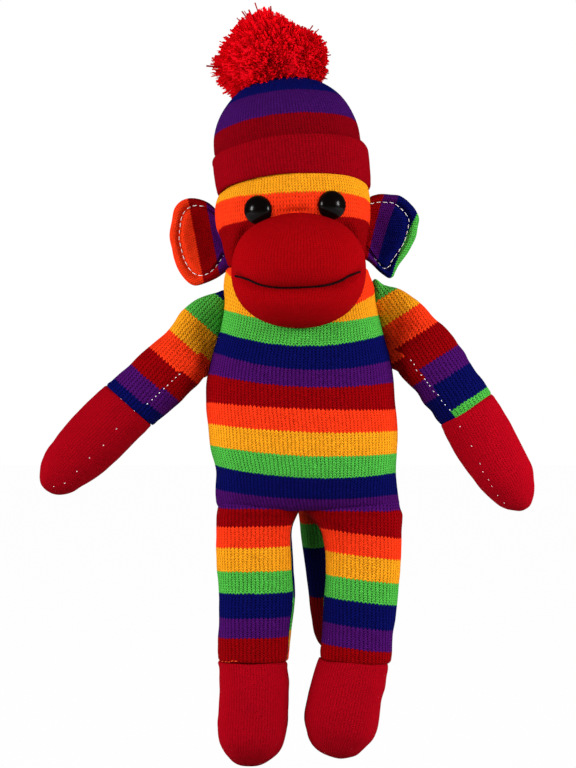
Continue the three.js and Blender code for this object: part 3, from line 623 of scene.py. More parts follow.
# Down the inner edge a sliver of the back panel shows, whose stripes run the other way: depth, courses
inner_panel = ([60, 82.3, 111, 129, 138, 146], [66, 54, 45, 36, 27, 20])
leg_colours = ["red", "orange", "yellow", "green", "navy", "purple", "red"]
leg_knit = knit("leg_knit", [(colour, stripe_courses) for colour in ["purple"] + leg_colours])
plain_toe = {"depth": 0.2, "pit": 0.5, "fineness": 1.3, "grain": 0.6}
foot_knit = knit("foot_knit", [("crimson", 60)], **plain_toe)
limb_columns = 96
ankle_bend, ankle_bend_radius = {"right": 0.6, "left": 10.5}, 19.5
orange_thread = thread_material("orange_thread", (0.9, 0.1, 0.02), 0.7)
# Where the thread of the right ankle's seam shows, as x and z
ankle_spots = [
    (-45.3, -145.4), (-43.4, -145.3), (-41.5, -145.2), (-39.7, -145.0), (-37.8, -144.7), (-35.9, -144.3),
]
for side in ("right", "left"):
    edges, slant, middle = leg_stripes[side]
    points, wales = panel_tube(leg_edges[side], 120, limb_columns, np.array([1.0, 0, 0]))
    points = filled_out(points, (24, 1.0), (9, 0.3))
    # The border at the hip runs level, the others slant
    slanting = np.arange(len(edges)) > 1
    heights = edges + slanting * slant * (points[..., :1] / mm - middle)
    courses = courses_between(points[..., 2] / mm, heights, np.arange(len(edges)) * stripe_courses)
    wide, thick = around(limb_columns)
    turned_in = np.interp(-points[..., 2] / mm, *inner_panel)
    sliver = (wide < -0.95) & (side == "right")
    # Round the back the stripes drift from the outer fold to the seam
    drifted = courses - 3.8 * (1 - wide) / 2
    on_panel = (thick > 0) | sliver
    other = np.where(sliver, turned_in, drifted)
    leg = skin(f"leg_{side}_skin", points, courses, leg_knit, 62, wales, (on_panel, other))
    stuffed(f"leg_{side}")
    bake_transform(leg)
    if side == "right":
        stitches = seam_dots("ankle_stitches", points, ankle_spots, orange_thread, 1.7, 0.5)
        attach(stitches, "leg_right")

    ankle = limb_frame(joints[f"foot_{side}_bend"], 1)
    rings = smoothed(foot_shape[side], 110)
    rings[:, 3] *= -1
    points = limb_points(ankle, rings, ankle_bend_radius, math.radians(ankle_bend[side]), limb_columns)
    points = filled_out(points, (20, 0.9), (8, 0.3))
    courses = np.repeat(rings[:, :1] / course, limb_columns, axis=1)
    foot = skin(f"foot_{side}_skin", points, courses, foot_knit, 60)
    stuffed(f"foot_{side}")
    start = ankle[0] + ankle[1] * 1 * mm
    start + ankle[1] * 14 * mm
    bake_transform(foot)

# Tail: a strip of the second sock rolled into a thin tube, filled, and sewn to the seat behind.
tail_joint = joints["tail_swing"]
tail_slope = math.radians(14)
tail_lean = -0.032
tail_along = np.array([tail_lean, math.sin(tail_slope), -math.cos(tail_slope)])
tail_hinge = np.array(tail_joint["axis"], float)
tail_placed = (np.array(tail_joint["pos_m"]), tail_along, np.cross(tail_hinge, tail_along), tail_hinge)
tail_shape = [
    (-8.6, 6, 4, 0, 2, 0), (-8, 7.4, 6, 0, 2, 0), (-4, 8.8, 8.4, 0, 2, 0), (4, 9.1, 9.1, 0, 2, 0),
    (30, 9.1, 9.1, 0, 2, 0), (62, 8.8, 8.8, 0, 2, 0), (90, 8.4, 8.4, 0, 2, 0), (103, 7.2, 7.2, 0, 2, 0),
    (109, 4.8, 4.8, 0, 2, 0), (111.6, 1.6, 1.6, 0, 2, 0),
]
tail_columns = 48
rings = smoothed(tail_shape, 110)
points = limb_points(tail_placed, rings, 18, math.radians(-8), tail_columns)
# The root is drawn forward into the seat
points[..., 1] -= 11 * mm * np.clip((6 - rings[:, :1]) / 14.6, 0, 1) ** 1.4
points = filled_out(points, (14, 0.7))
# The tail's yarn is dimmed to a quarter: painted shade, for the tail hanging in shade behind the legs.
tail_knit = knit(
    "tail_knit",
    [("purple", 6), ("red", 9), ("orange", 13), ("green", 10), ("navy", 21), ("red", 26)],
    painted_dimming=0.25,
)
courses = np.repeat((rings[:, :1] - tail_shape[0][0]) / 1.45, tail_columns, axis=1)
tail = skin("tail_skin", points, courses, tail_knit, 28)
stuffed("tail")
start = tail_placed[0] + tail_along * 2 * mm
start + tail_along * 10 * mm
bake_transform(tail)

# Arms and hands: two panels of the second sock, sewn along the top and under the arm, turned, filled and
# sewn flat to the body's side. The red hand is the sock's toe, past the wrist seam.
arm_edges = {
    # upper x, z and lower x, z of the outline, half depth, squareness
    "right": [
        (-41.5, 59, -47.6, 18, 1.6, 3), (-42.4, 61, -48.2, 16, 3, 3), (-47.6, 59.9, -49.8, 15.3, 5.4, 2.8),
        (-56.2, 57.1, -51.2, 14.5, 8, 2.6), (-66.6, 49.4, -52.6, 13.5, 11.4, 2.4),
        (-73.5, 41, -53.8, 12.8, 13.6, 2.3),
        (-80.7, 33.8, -55.5, 11.6, 15, 2.25), (-84, 30.9, -57.9, 8.4, 15.6, 2.25),
        (-88.2, 27, -62.1, 4.4, 15.8, 2.25),
        (-92.8, 23.1, -66.5, 0.2, 15.7, 2.25), (-97, 18.7, -71, -3.8, 15.5, 2.25),
        (-101.5, 14.7, -75.5, -7.8, 15.5, 2.25),
        (-106, 10.7, -80.1, -11.8, 15.3, 2.25), (-108.5, 8.6, -82.3, -13.9, 15, 2.25),
        (-108.6, 7.6, -83, -14.2, 14.3, 2.25),
    ],
    "left": [
        (39.6, 66, 47.4, 21, 1.6, 3), (41, 67.6, 48.2, 19, 3, 3), (46, 64.6, 49.6, 18.3, 5.4, 2.8),
        (54.5, 62.4, 50.8, 17.6, 8.4, 2.6), (64, 56.2, 52.4, 16.8, 11.8, 2.4),
        (75.4, 44.8, 53.6, 16.2, 13.8, 2.3),
        (81.3, 39.6, 54.4, 15.6, 14.5, 2.25), (85.2, 34.8, 55.2, 14.4, 15.2, 2.25),
        (87.5, 31.5, 57.1, 12.2, 15.6, 2.25),
        (91.4, 26.8, 61.3, 7.7, 15.8, 2.25), (94.2, 21.5, 65.4, 3.2, 15.7, 2.25),
        (97.5, 16.5, 68.8, -1.7, 15.5, 2.25),
        (101.4, 11.9, 73.3, -6, 15.5, 2.25), (104.8, 6.9, 76.1, -11.3, 15.3, 2.25),
        (106.4, 4, 78.4, -13.8, 15, 2.25),
        (106.3, 3, 79.2, -14.3, 14.3, 2.25),
    ],
}
hand_shape = {
    # distance, half width, half depth, forwards, squareness, sideways
    "right": [
        (0, 16, 14.4, 0, 2.25, -1.9), (0.6, 16.8, 15.1, 0, 2.25, -2), (4, 17.3, 15.8, 0, 2.25, -1.7),
        (12, 17.5, 16.1, 0, 2.25, -0.8), (24, 17.7, 16.4, 0, 2.2, -0.1), (36, 16.7, 16.1, 0, 2.2, 1),
        (42, 15.9, 15.4, 0, 2.2, 1.4), (48, 14.9, 14.3, 0, 2.15, 2.1), (53, 13.6, 12.8, 0, 2.1, 2.5),
        (57.5, 11.9, 10.9, 0, 2.1, 2.5), (61, 9.6, 8.7, 0, 2.05, 2.6), (64, 6.9, 6.4, 0, 2, 2.9),
        (66, 3.8, 3.7, 0, 2, 3.1),
        (66.6, 1.5, 1.5, 0, 2, 3.1),
    ],
    "left": [
        (0, 15.8, 14.4, 0, 2.25, -0.6), (0.6, 16.5, 15.1, 0, 2.25, -0.6), (4, 17, 15.8, 0, 2.25, -0.6),
        (12, 17.2, 16.1, 0, 2.25, -0.6), (24, 17.2, 16.4, 0, 2.2, -0.4), (36, 16.8, 16.1, 0, 2.2, -0.1),
        (42, 16, 15.4, 0, 2.2, 0), (48, 14.7, 14.2, 0, 2.15, 0.4), (52.5, 13, 12.7, 0, 2.1, 0.5),
        (56.5, 11.3, 10.8, 0, 2.1, 0.5), (60, 8.8, 8.6, 0, 2.05, 0.6), (62.7, 5.8, 5.8, 0, 2, 0.8),
        (64.6, 2.8, 2.8, 0, 2, 0.9), (65, 1.2, 1.2, 0, 2, 0.9),
    ],
}
white_thread = thread_material("white_thread", (0.93, 0.91, 0.91), 0.7)
# Where white stitches of the under seams show, as x and z
arm_seam = {
    "right": [
        (-67.2, 14.3), (-69.4, 12.3), (-71.7, 10.4), (-73.9, 8.4), (-76.1, 6.2), (-78.3, 4.2),
        (-80.5, 2.1), (-82.8, 0.1), (-85.2, -1.8),
    ],
    "left": [
        (60.9, 22.0), (62.6, 19.5), (64.5, 16.8), (66.5, 14.0), (68.4, 11.8), (69.8, 10.1), (71.8, 7.9),
        (73.7, 5.4), (75.9, 2.6), (77.9, 0.1), (79.8, -2.7), (82.0, -5.4),
    ],
}
hand_seam = {
    "right": [
        (-98.8, 2.1), (-96.6, -0.4), (-94.4, -3.2), (-92.2, -6.0), (-102.2, -16.5), (-109.9, -24.8),
        (-117.2, -32.1), (-124.9, -39.5), (-131.6, -46.2), (-137.7, -48.1),
    ],
    "left": [
        (83.7, -9.9), (85.9, -8.2), (88.1, -14.3), (94.2, -25.4), (99.2, -35.4), (101.4, -39.8),
        (103.9, -44.3), (105.9, -47.6), (109.5, -52.9), (113.1, -57.0),
    ],
}
# Stripes from the wrist back to the shoulder, in millimetres
arm_stripes = {
    "right": [
        ("navy", 5.6), ("purple", 11.8), ("red", 14), ("orange", 14.6), ("yellow", 14.6), ("green", 17.5),
        ("navy", 30),
    ],
    "left": [
        ("green", 3.9), ("navy", 16.8), ("purple", 11.8), ("red", 16.8), ("orange", 14), ("yellow", 14),
        ("green", 30),
    ],
}
# How far towards its lower edge, as a share of its half width, each arm's under seam lies
under_seam = {"right": -0.34, "left": -0.5}
# The doll's right hand is painted darker and its left lighter: painted shade and painted light, for one red
# yarn lit more from the doll's left.
hand_yarn = {"right": "hand_red_shaded", "left": "hand_red_lit"}
under_shift = {"right": -1.3, "left": 4}
wrist_bend, wrist_bend_radius = {"right": 0.6, "left": 3.1}, 17.2
for side, way in (("right", -1), ("left", 1)):
    placed = limb_frame(joints[f"arm_{side}_swing"], way)
    wrist = limb_frame(joints[f"hand_{side}_bend"], way)
    points, wales = panel_tube(arm_edges[side], 130, limb_columns, wrist[3])
    points = filled_out(points, (22, 1.0), (8, 0.35))
    back = -((points - wrist[0]) @ wrist[1]) / mm
    stripes = [(colour, round(length / course)) for colour, length in arm_stripes[side]]
    widths = np.cumsum([0] + [length for _, length in arm_stripes[side]])
    counts = np.cumsum([0] + [count for _, count in stripes])
    courses = np.interp(back, widths, counts)
    wide, thick = around(limb_columns)
    behind = (thick > 0) | (wide < under_seam[side])
    arm_knit = knit(f"arm_{side}_knit", stripes)
    panel = (behind, courses + under_shift[side])
    arm = skin(f"arm_{side}_skin", points, courses, arm_knit, 48, wales, panel)
    stuffed(f"arm_{side}")
    start = placed[0] - placed[1] * 2 * mm
    end = start + placed[1] * 14 * mm
    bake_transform(arm)
    stitches = seam_dots(f"arm_{side}_seam", points, arm_seam[side], white_thread, 1.0, 0.5)
    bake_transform(stitches)

    rings = smoothed(hand_shape[side], 120)
    points = limb_points(wrist, rings, wrist_bend_radius, math.radians(wrist_bend[side]), limb_columns)
    points = filled_out(points, (20, 0.9), (8, 0.3))
    courses = np.repeat(rings[:, :1] / course, limb_columns, axis=1)
    hand_knit = knit(f"hand_{side}_knit", [(hand_yarn[side], 60)], **plain_toe)
    hand = skin(f"hand_{side}_skin", points, courses, hand_knit, 50)
    stuffed(f"hand_{side}")
    start = wrist[0] + wrist[1] * 1 * mm
    end = start + wrist[1] * 12 * mm
    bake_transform(hand)
    stitches = seam_dots(f"hand_{side}_seam", points, hand_seam[side], white_thread, 0.8, 0.4)
    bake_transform(stitches)

# Head: the sock's leg carried on above the neck seam and filled round. It leans to the doll's right and
# tips back, and its stripes keep to the hat.
hat_joint = joints["hat_lift"]
hat_up = np.array(hat_joint["axis"], float)
hat_base = np.array([-4.4, 0, 117.0]) * mm
head_roll, head_pitch = math.radians(-5.5), math.radians(-10.5)


def tilted(share):
    """The ways across and through the head, after a share of its full lean and tip."""
    roll, pitch = share * head_roll, share * head_pitch
    across_way = np.array([math.cos(roll), 0, -math.sin(roll)])
    level = np.array([0, math.cos(pitch), math.sin(pitch)])
    deep_way = np.array([level[2] * math.sin(roll), level[1], level[2] * math.cos(roll)])
    return across_way, deep_way


head_shape = [
    # height above the neck, half width, half depth, share of the tilt, sideways
    (0, 36.8, 24.6, 0, -1.3), (0.8, 38.2, 26.6, 0, -2.1), (4, 38.9, 31, 0, -2.9), (9, 39.8, 35, 0.08, -3.5),
    (16, 41.0, 38.4, 0.2, -4.0), (24, 42.9, 40.4, 0.4, -4.8), (32, 43.3, 41, 0.7, -5.0),
    (38, 43.0, 40.8, 0.9, -5.1),
    (42.4, 41.6, 39.4, 1, -5.2),
    (46, 38.9, 36.9, 1, -5.4), (56, 37.8, 36, 1, -6.4), (68, 36.6, 34.9, 1, -7.6), (80, 33, 31.4, 1, -8.9),
    (88, 27.6, 26.3, 1, -9.7), (94, 20, 19, 1, -10.3), (97.6, 10, 9.5, 1, -10.7), (98.3, 3, 2.9, 1, -10.8),
]
head_stripes = [
    ("red", 50), ("purple", 36), ("navy", 22), ("green", 8), ("yellow", -9.9), ("orange", -19.0),
    ("red", -41.5), ("orange", -60),
]
rings = smoothed(head_shape, 170)
wide, thick = around(160, np.interp(rings[:, 0], [0, 30, 42, 44], [2.25, 2.2, 2.1, 2.0]))
ways = [tilted(share) for share in rings[:, 3]]
across_ways = np.array([pair[0] for pair in ways])
deep_ways = np.array([pair[1] for pair in ways])
centre = np.stack([rings[:, 4], 0 * rings[:, 0], rings[:, 0] + 74], axis=1)
over = rings[:, 0] > 43
centre[over] = (hat_base / mm) + (rings[over, 0] - 43)[:, None] * hat_up
points = centre[:, None] + (rings[:, 1:2] * wide)[..., None] * across_ways[:, None]
points = (points + (rings[:, 2:3] * thick)[..., None] * deep_ways[:, None]) * mm
points = filled_out(points, (26, 0.8))
# The face is drawn in round the muzzle's seam, but not at the eyes
muzzle_centre = np.array([-1.4, -34, 71.2])
muzzle_half = np.array([37, 34, 31.6])
muzzle_power = 2.15
off_middle = np.abs((points / mm - muzzle_centre) / muzzle_half) ** muzzle_power
nearness = off_middle.sum(axis=-1) ** (1 / muzzle_power)
crease_depth, crease_place, crease_width = 3.4, 1.02, 0.07
eye_spots, eye_clearance = ((-23.7, 104), (16.7, 107)), 13
drawn_in = crease_depth * np.exp(-(((nearness - crease_place) / crease_width) ** 2)) * (points[..., 1] < 0)
for eye_x, eye_z in eye_spots:
    from_eye = np.hypot(points[..., 0] / mm - eye_x, points[..., 2] / mm - eye_z)
    drawn_in *= 1 - np.exp(-((from_eye / eye_clearance) ** 4))
points -= outward(points) * drawn_in[..., None] * mm
up = ((points - hat_base) @ hat_up) / mm
edges = np.array([80] + [height for _, height in head_stripes])
counts = np.cumsum([0] + [max(1, round((a - b) / course)) for a, b in zip(edges, edges[1:])])
# The two borders on the brow don't run true to the hat: how far each stands off, from the doll's right
# to its left
heights = edges + 0 * up[..., None]
heights[..., 5] += np.interp(points[..., 0] / mm, [-48, -25, 0, 38], [5.6, 1.5, 0, -1.3])
heights[..., 6] += np.interp(points[..., 0] / mm, [-48, -35, 0, 22, 38], [0, -2, -4, -5, -4.1])
courses = courses_between(up, heights, counts)
head_knit = knit("head_knit", [(row[0], int(n)) for row, n in zip(head_stripes, np.diff(counts))])
head = skin("head_skin", points, courses, head_knit, 156)
stuffed("head")
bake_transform(head)

# Muzzle: the plain red heel of the sock, filled and sewn round its edge to the face. The mouth is drawn
# in across it, a little below the middle, and rises to both corners.


mouth_drop, corner_rise, mouth_slant = 12.6, 11, 1.3
# The mouth is a wide dimple with a narrow line in it: depth and width of each
dimple, mouth_line = (4.0, 4.2), (3.2, 1.6)


def mouth_height(x):
    """How far above the muzzle's middle the mouth runs, at each x from that middle."""
    share = x / muzzle_half[0]
    return -mouth_drop + corner_rise * np.abs(share) ** 3 + mouth_slant * share


def muzzle_surface(direction):
    """The point of the muzzle in a direction from its middle, and how far the mouth draws it in."""
    x, y, z = (direction[..., k] for k in range(3))
    span = (np.abs(direction) ** muzzle_power).sum(axis=-1) ** (-1 / muzzle_power)
    lowness = np.clip(-2 * z, 0, 1)
    shallower = muzzle_half[1] * (1 - 0.12 * lowness)
    half = np.stack([muzzle_half[0] + 0 * x, shallower, muzzle_half[2] + 0 * x], axis=-1)
    point = direction * half * span[..., None]
    away = point[..., 2] - mouth_height(point[..., 0])
    front = np.clip(-2 * y, 0, 1)
    drawn = sum(deep * np.exp(-((away / wide) ** 2)) for deep, wide in (dimple, mouth_line)) * front
    return point - direction * drawn[..., None]


def directions(fall, turn):
    """Ways out from a middle: a row for each angle from straight up, a column for each angle round."""
    fall = fall[:, None]
    level = np.sin(fall)
    return np.stack([level * np.cos(turn), level * np.sin(turn), np.cos(fall) + 0 * turn], axis=2)


muzzle_columns = 200
turn = np.linspace(0, 2 * math.pi, muzzle_columns, endpoint=False) + math.pi / 2
fall = np.linspace(0.04, math.pi - 0.04, 150)
direction = directions(fall, turn)
points = (muzzle_surface(direction) + muzzle_centre) * mm
points = filled_out(points, (22, 0.5))
courses = np.repeat((fall[:, None] * muzzle_half[1] / course), muzzle_columns, axis=1)
muzzle_knit = knit("muzzle_knit", [("heel", 80)], depth=0.15, pit=0.45, fineness=1.2, grain=0.5)
muzzle = skin("muzzle_skin", points, courses, muzzle_knit, 104)
stuffed("muzzle")
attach(muzzle, "head")

# Mouth thread: dark doubled thread, back-stitched through the muzzle and pulled tight.


def geometry_tree(name, inputs, result, parts, wires):
    """A geometry node tree, from its inputs and their kinds, its nodes and its wires.

    Each node has its type, its settings and its values. A wire goes from a node's output to a node's input;
    "given" holds the tree's inputs and "result" takes what it makes."""
    tree = bpy.data.node_groups.new(name, "GeometryNodeTree")
    for label, kind in inputs.items():
        tree.interface.new_socket(label, in_out="INPUT", socket_type="NodeSocket" + kind)
    tree.interface.new_socket(result, in_out="OUTPUT", socket_type="NodeSocketGeometry")
    made = {"given": tree.nodes.new("NodeGroupInput"), "result": tree.nodes.new("NodeGroupOutput")}
    for label, (kind, settings, values) in parts.items():
        made[label] = tree.nodes.new(kind)
        for setting, choice in settings.items():
            setattr(made[label], setting, choice)
        for socket, value in values.items():
            made[label].inputs[socket].default_value = value
    for source, output, target, socket in wires:
        tree.links.new(made[source].outputs[output], made[target].inputs[socket])
    return tree


# Sews a run of short stitches along a line
stitching = geometry_tree(
    "run_of_stitches",
    {
        "Seam": "Geometry",
        "Spacing": "Float",
        "Length": "Float",
        "Thickness": "Float",
        "Seed": "Int",
        "Thread": "Material",
    },
    "Stitches",
    {
        "curve": ("GeometryNodeMeshToCurve", {}, {}),
        "even": ("GeometryNodeResampleCurve", {"mode": "LENGTH"}, {}),
        "tangent": ("GeometryNodeInputTangent", {}, {}),
        "aim": ("FunctionNodeAlignRotationToVector", {"axis": "Z"}, {}),
        "bead": ("GeometryNodeMeshUVSphere", {}, {"Segments": 8, "Rings": 6, "Radius": 0.5}),
        "size": ("ShaderNodeCombineXYZ", {}, {}),
        "vary": ("FunctionNodeRandomValue", {"data_type": "FLOAT"}, {"Min": 0.8, "Max": 1.15}),
        "longer": ("ShaderNodeMath", {"operation": "MULTIPLY"}, {}),
        "place": ("GeometryNodeInstanceOnPoints", {}, {}),
        "real": ("GeometryNodeRealizeInstances", {}, {}),
        "smooth": ("GeometryNodeSetShadeSmooth", {}, {}),
        "dress": ("GeometryNodeSetMaterial", {}, {}),
    },
    (
        ("given", "Seam", "curve", 0),
        ("curve", 0, "even", "Curve"),
        ("given", "Spacing", "even", "Length"),
        ("tangent", 0, "aim", "Vector"),
        ("given", "Seed", "vary", "Seed"),
        ("given", "Length", "longer", 0),
        ("vary", 1, "longer", 1),
        ("given", "Thickness", "size", "X"),
        ("given", "Thickness", "size", "Y"),
        ("longer", 0, "size", "Z"),
        ("even", 0, "place", "Points"),
        ("bead", 0, "place", "Instance"),
        ("aim", 0, "place", "Rotation"),
        ("size", 0, "place", "Scale"),
        ("place", 0, "real", 0),
        ("real", 0, "smooth", 0),
        ("smooth", 0, "dress", "Geometry"),
        ("given", "Thread", "dress", "Material"),
        ("dress", 0, "result", 0),
    ),
)


def made_real(piece, tree, settings, name):
    """Runs a node tree on a piece with these inputs, and keeps the result as a plain mesh."""
    modifier = piece.modifiers.new("maker", "NODES")
    modifier.node_group = tree
    for item in tree.interface.items_tree:
        if item.name in settings and item.in_out == "INPUT":
            modifier[item.identifier] = settings[item.name]
    mesh = bpy.data.meshes.new_from_object(piece.evaluated_get(bpy.context.evaluated_depsgraph_get()))
    mesh.name = name
    bpy.data.objects.remove(piece)
    return add_object(name, mesh)


def sew(name, path, spacing, length, thickness, thread, seed=1):
    """Stitches along a path of points, in metres; the other sizes are in millimetres."""
    mesh = bpy.data.meshes.new(name)
    mesh.from_pydata([tuple(p) for p in path], [(k, k + 1) for k in range(len(path) - 1)], [])
    line = add_object(name + "_line", mesh)
    sizes = {"Spacing": spacing * mm, "Length": length * mm, "Thickness": thickness * mm}
    return made_real(line, stitching, {**sizes, "Seed": seed, "Thread": thread}, name)


dark_thread = thread_material("mouth_thread", (0.008, 0.001, 0.002), 0.8)
share = np.linspace(-0.98, 0.97, 60)
rise = mouth_height(share * muzzle_half[0]) / muzzle_half[2]
direction = np.stack([share, -np.sqrt(np.maximum(1 - share**2 - rise**2, 0.0004)), rise], axis=1)
direction /= np.linalg.norm(direction, axis=1, keepdims=True)
path = (muzzle_surface(direction) + muzzle_centre + direction * 0.1) * mm
mouth = sew("mouth_stitches", path, 2.0, 3.0, 1.5, dark_thread)
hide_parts("mouth_thread")
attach(mouth, "head")

# Eyes: black domed safety eyes, pushed through the face and locked by white washers inside the head.
eye_radius, eye_height, eye_rim = 8.1, 6.6, 0.9


def polished(name, colour, roughness, shine):
    """Moulded plastic: a smooth skin with the faintest waviness."""
    material, start = new_material(name)
    place = start.node("ShaderNodeTexCoord", {}, {}, "Object")
    wave = start.mottle(place, 240.0, 1.0)
    relief = start.node("ShaderNodeBump", {}, {"Strength": 0.15, "Distance": 0.05 * mm, "Height": wave})
    plastic = surface(start, (*colour, 1), roughness + wave * 0.04, shine, relief)
    start.node("ShaderNodeOutputMaterial", {}, {"Surface": plastic})
    return material


eye_black = polished("eye_black", (0.002, 0.001, 0.001), 0.16, 0.13)
washer_white = polished("washer_white", (0.8, 0.8, 0.78), 0.45, 0.5)
splay = math.radians(18)
for side, way in (("right", -1), ("left", 1)):
    facing = np.array([way * math.sin(splay), -math.cos(splay), 0])
    level = np.array([math.cos(splay), way * math.sin(splay), 0])
    washer = frame["nodes"][f"eye_washer_{side}"]
    washer_low, washer_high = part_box(f"eye_washer_{side}")
    washer_middle = (np.array(washer_low) + np.array(washer_high)) / 2
    seat = washer_middle + facing * 3.5 * mm
    # Radius and height of the shank, the rim and the dome
    profile = [(0.01, -3), (2.4, -3), (2.4, -0.05), (7.4, -0.05), (7.9, 0.15)]
    angles = np.linspace(0, math.pi / 2 - 0.02, 26)
    profile += [(eye_radius * math.cos(a), eye_rim + (eye_height - eye_rim) * math.sin(a)) for a in angles]
    turn = np.linspace(0, 2 * math.pi, 64, endpoint=False)
    rings = np.array(profile)
    ring = np.cos(turn)[:, None] * level + np.sin(turn)[:, None] * np.array([0, 0, 1])
    points = seat + (rings[:, 1, None, None] * facing + rings[:, 0, None, None] * ring) * mm
    eye = skin(f"eye_{side}_dome", points, np.zeros(points.shape[:2]), eye_black, 1)
    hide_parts(f"eye_{side}")
    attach(eye, "head")
    washer.data.materials.clear()
    washer.data.materials.append(washer_white)

# Ears: two layers of sock with a little filling, sewn, turned and topstitched a few millimetres in from
# the edge, so that a soft rim stands round a shallow cup.
ear_outline = {
    # outline in the ear's own frame: out from the head and up along its root, in millimetres
    "right": [
        (-9, 17.5), (-7.6, 22.1), (-4.7, 26.1), (-0.9, 29.4), (3.6, 31.1), (8.6, 30.7), (13.3, 27.9),
        (17.5, 22.1),
        (21.6, 15.1), (23.2, 8.7), (24.5, 1.7), (24.6, -4.2), (23.6, -9.9), (21.3, -13.9), (18.1, -15.9),
        (12.6, -16.7),
        (6.6, -16.5), (0.5, -15.4), (-4.5, -14.6), (-7, -12), (-7, -5), (-7, 3), (-8, 10),
    ],
    "left": [
        (-4.3, 19.2), (0, 21.3), (3.9, 22), (8.6, 22.2), (12.4, 22.2), (16.1, 20.4), (19.3, 17.9),
        (22.6, 14.7), (24.9, 10.4),
        (24.3, 4.8), (23.6, -1.2), (21.6, -7), (19, -12), (16, -17), (14, -21.1), (13.2, -23.5),
        (11.1, -24.8),
        (8.5, -24), (5.2, -21.9), (1.5, -18.8), (-1.7, -16.4), (-3.7, -15.4), (-6, -12.5), (-6.5, -5),
        (-6.5, 4), (-6.2, 13),
    ],
}
# Stripes from the root out, the reach at which they start, and how they lean with height and with reach
ear_stripes = {
    "right": ([("purple", 8), ("red", 9), ("orange", 14), ("yellow", 12)], -8.5, 0.25, 0),
    "left": ([("red", 8), ("purple", 6), ("navy", 11), ("green", 16)], -9.4, -0.14, -0.0105),
}
for side, way in (("right", -1), ("left", 1)):
    placed = limb_frame(joints[f"ear_{side}_fold"], way)
    origin, along, deep_way, hinge = placed
    outline = np.array(ear_outline[side])
    columns = 160
    count = len(outline)
    s = np.linspace(0, count, columns, endpoint=False)
    k = np.floor(s).astype(int)
    t = (s - k)[:, None]
    p = [outline[(k + step) % count] for step in (-1, 0, 1, 2)]
    squared = 2 * p[0] - 5 * p[1] + 4 * p[2] - p[3]
    cubed = 3 * p[1] - p[0] - 3 * p[2] + p[3]
    edge = 0.5 * (2 * p[1] + (p[2] - p[0]) * t + squared * t**2 + cubed * t**3)
    middle = np.array([-3, edge[:, 1].mean()])
    spread = np.linspace(0, 1, 60)
    rings = []
    # The topstitching cuts across the lower corner at the root
    low_root = np.clip(1 - edge[:, 0] / 12, 0, 1) * (edge[:, 1] < middle[1])
    stitch_at = 0.80 - 0.22 * low_root
    for face in (-1, 1):
        for r in (spread if face < 0 else spread[::-1][1:]):
            rim = np.sqrt(max(1 - r**6, 0))
            puff = 3.3 * rim * (1 - 0.62 * np.exp(-(((r - stitch_at) / 0.07) ** 2)))
            cup = (4.2 if face < 0 else 3.0) * (1 - min(r / 0.85, 1) ** 2)
            out = middle + (edge - middle) * r
            # The face of the ear looks forwards, along -Y
            deep_at = -puff + cup if face < 0 else puff - 0.6 * cup
            curl = 5.0 * (out[:, 0] / 28) ** 2
            point = origin / mm + out[:, :1] * along + out[:, 1:] * hinge
            point = point + (deep_at + curl)[:, None] * np.array([0, 1, 0])
            rings.append(point)
    points = np.array(rings) * mm
    points = filled_out(points, (9, 0.5))
    reach = ((points - origin) @ along) / mm
    stripes, nearest, lean, turn_out = ear_stripes[side]
    height = ((points - origin) @ hinge) / mm
    leaning = reach + height * (lean + turn_out * np.clip(reach, 0, 22))
    courses = np.clip((leaning - nearest) / 1.1, 0, sum(count for _, count in stripes) - 0.6)
    ear = skin(f"ear_{side}_skin", points, courses, knit(f"ear_{side}_knit", stripes), 44)
    loops = np.array([loop.vertex_index for loop in ear.data.loops])
    rise = np.concatenate([height.ravel(), [height[0].mean(), height[-1].mean()]])
    out = np.concatenate([courses.ravel(), [courses[0].mean(), courses[-1].mean()]])
    pairs = np.stack([rise[loops] / 1.3, out[loops]], axis=1)
    ear.data.uv_layers["knit"].data.foreach_set("uv", pairs.astype(np.float32).ravel())
    stuffed(f"ear_{side}")
    start, end = origin - along * 3 * mm, origin + along * 7 * mm
    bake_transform(ear)
    seam = points[np.round(stitch_at * (len(spread) - 1)).astype(int), np.arange(columns)]
    visible = seam[((seam - origin) @ along) > -2.6 * mm]
    round_ear = visible - visible.mean(axis=0)
    order = np.argsort(np.arctan2(round_ear @ hinge, round_ear @ along))
    path = visible[order] + np.array([0, -0.35, 0]) * mm
    stitches = sew(f"ear_{side}_topstitch", path, 3.6, 2.7, 0.42, white_thread)
    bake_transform(stitches)

# Hat: the closed end of a sock, pulled over the head, with its open edge rolled up into a cuff.
hat_across, hat_deep = tilted(1)
hat_profile = [
    # radius, height, from the crown's top outside, over the cuff, and up the inside
    (0.4, 65.0), (6, 64.9), (14, 63.4), (22, 60.2), (29, 55), (34.6, 48.4), (38.6, 40.6), (40.8, 33),
    (41.4, 26), (41.4, 22.6),
    (41.9, 22.0), (42.9, 21.9), (43.8, 20.6), (44.0, 17), (43.8, 10), (43.4, 4.2), (42.7, 1), (41.6, 0.2),
    (40.3, 0.8),
    (38.9, 3), (38.7, 12), (38.7, 24), (37.6, 36), (34, 46.4), (28, 54.4), (20, 59.8), (10, 62.2),
    (0.4, 62.4),
]
hat_stripes = [("navy", 51), ("plum", 35.8), ("wine", 22.3)]
rings = smoothed(hat_profile, 300)
columns = 180
turn = np.linspace(0, 2 * math.pi, columns, endpoint=False) + math.pi / 2
ring = np.cos(turn)[:, None] * hat_across + 0.95 * np.sin(turn)[:, None] * hat_deep
points = (hat_base / mm + rings[:, 1, None, None] * hat_up + rings[:, 0, None, None] * ring) * mm
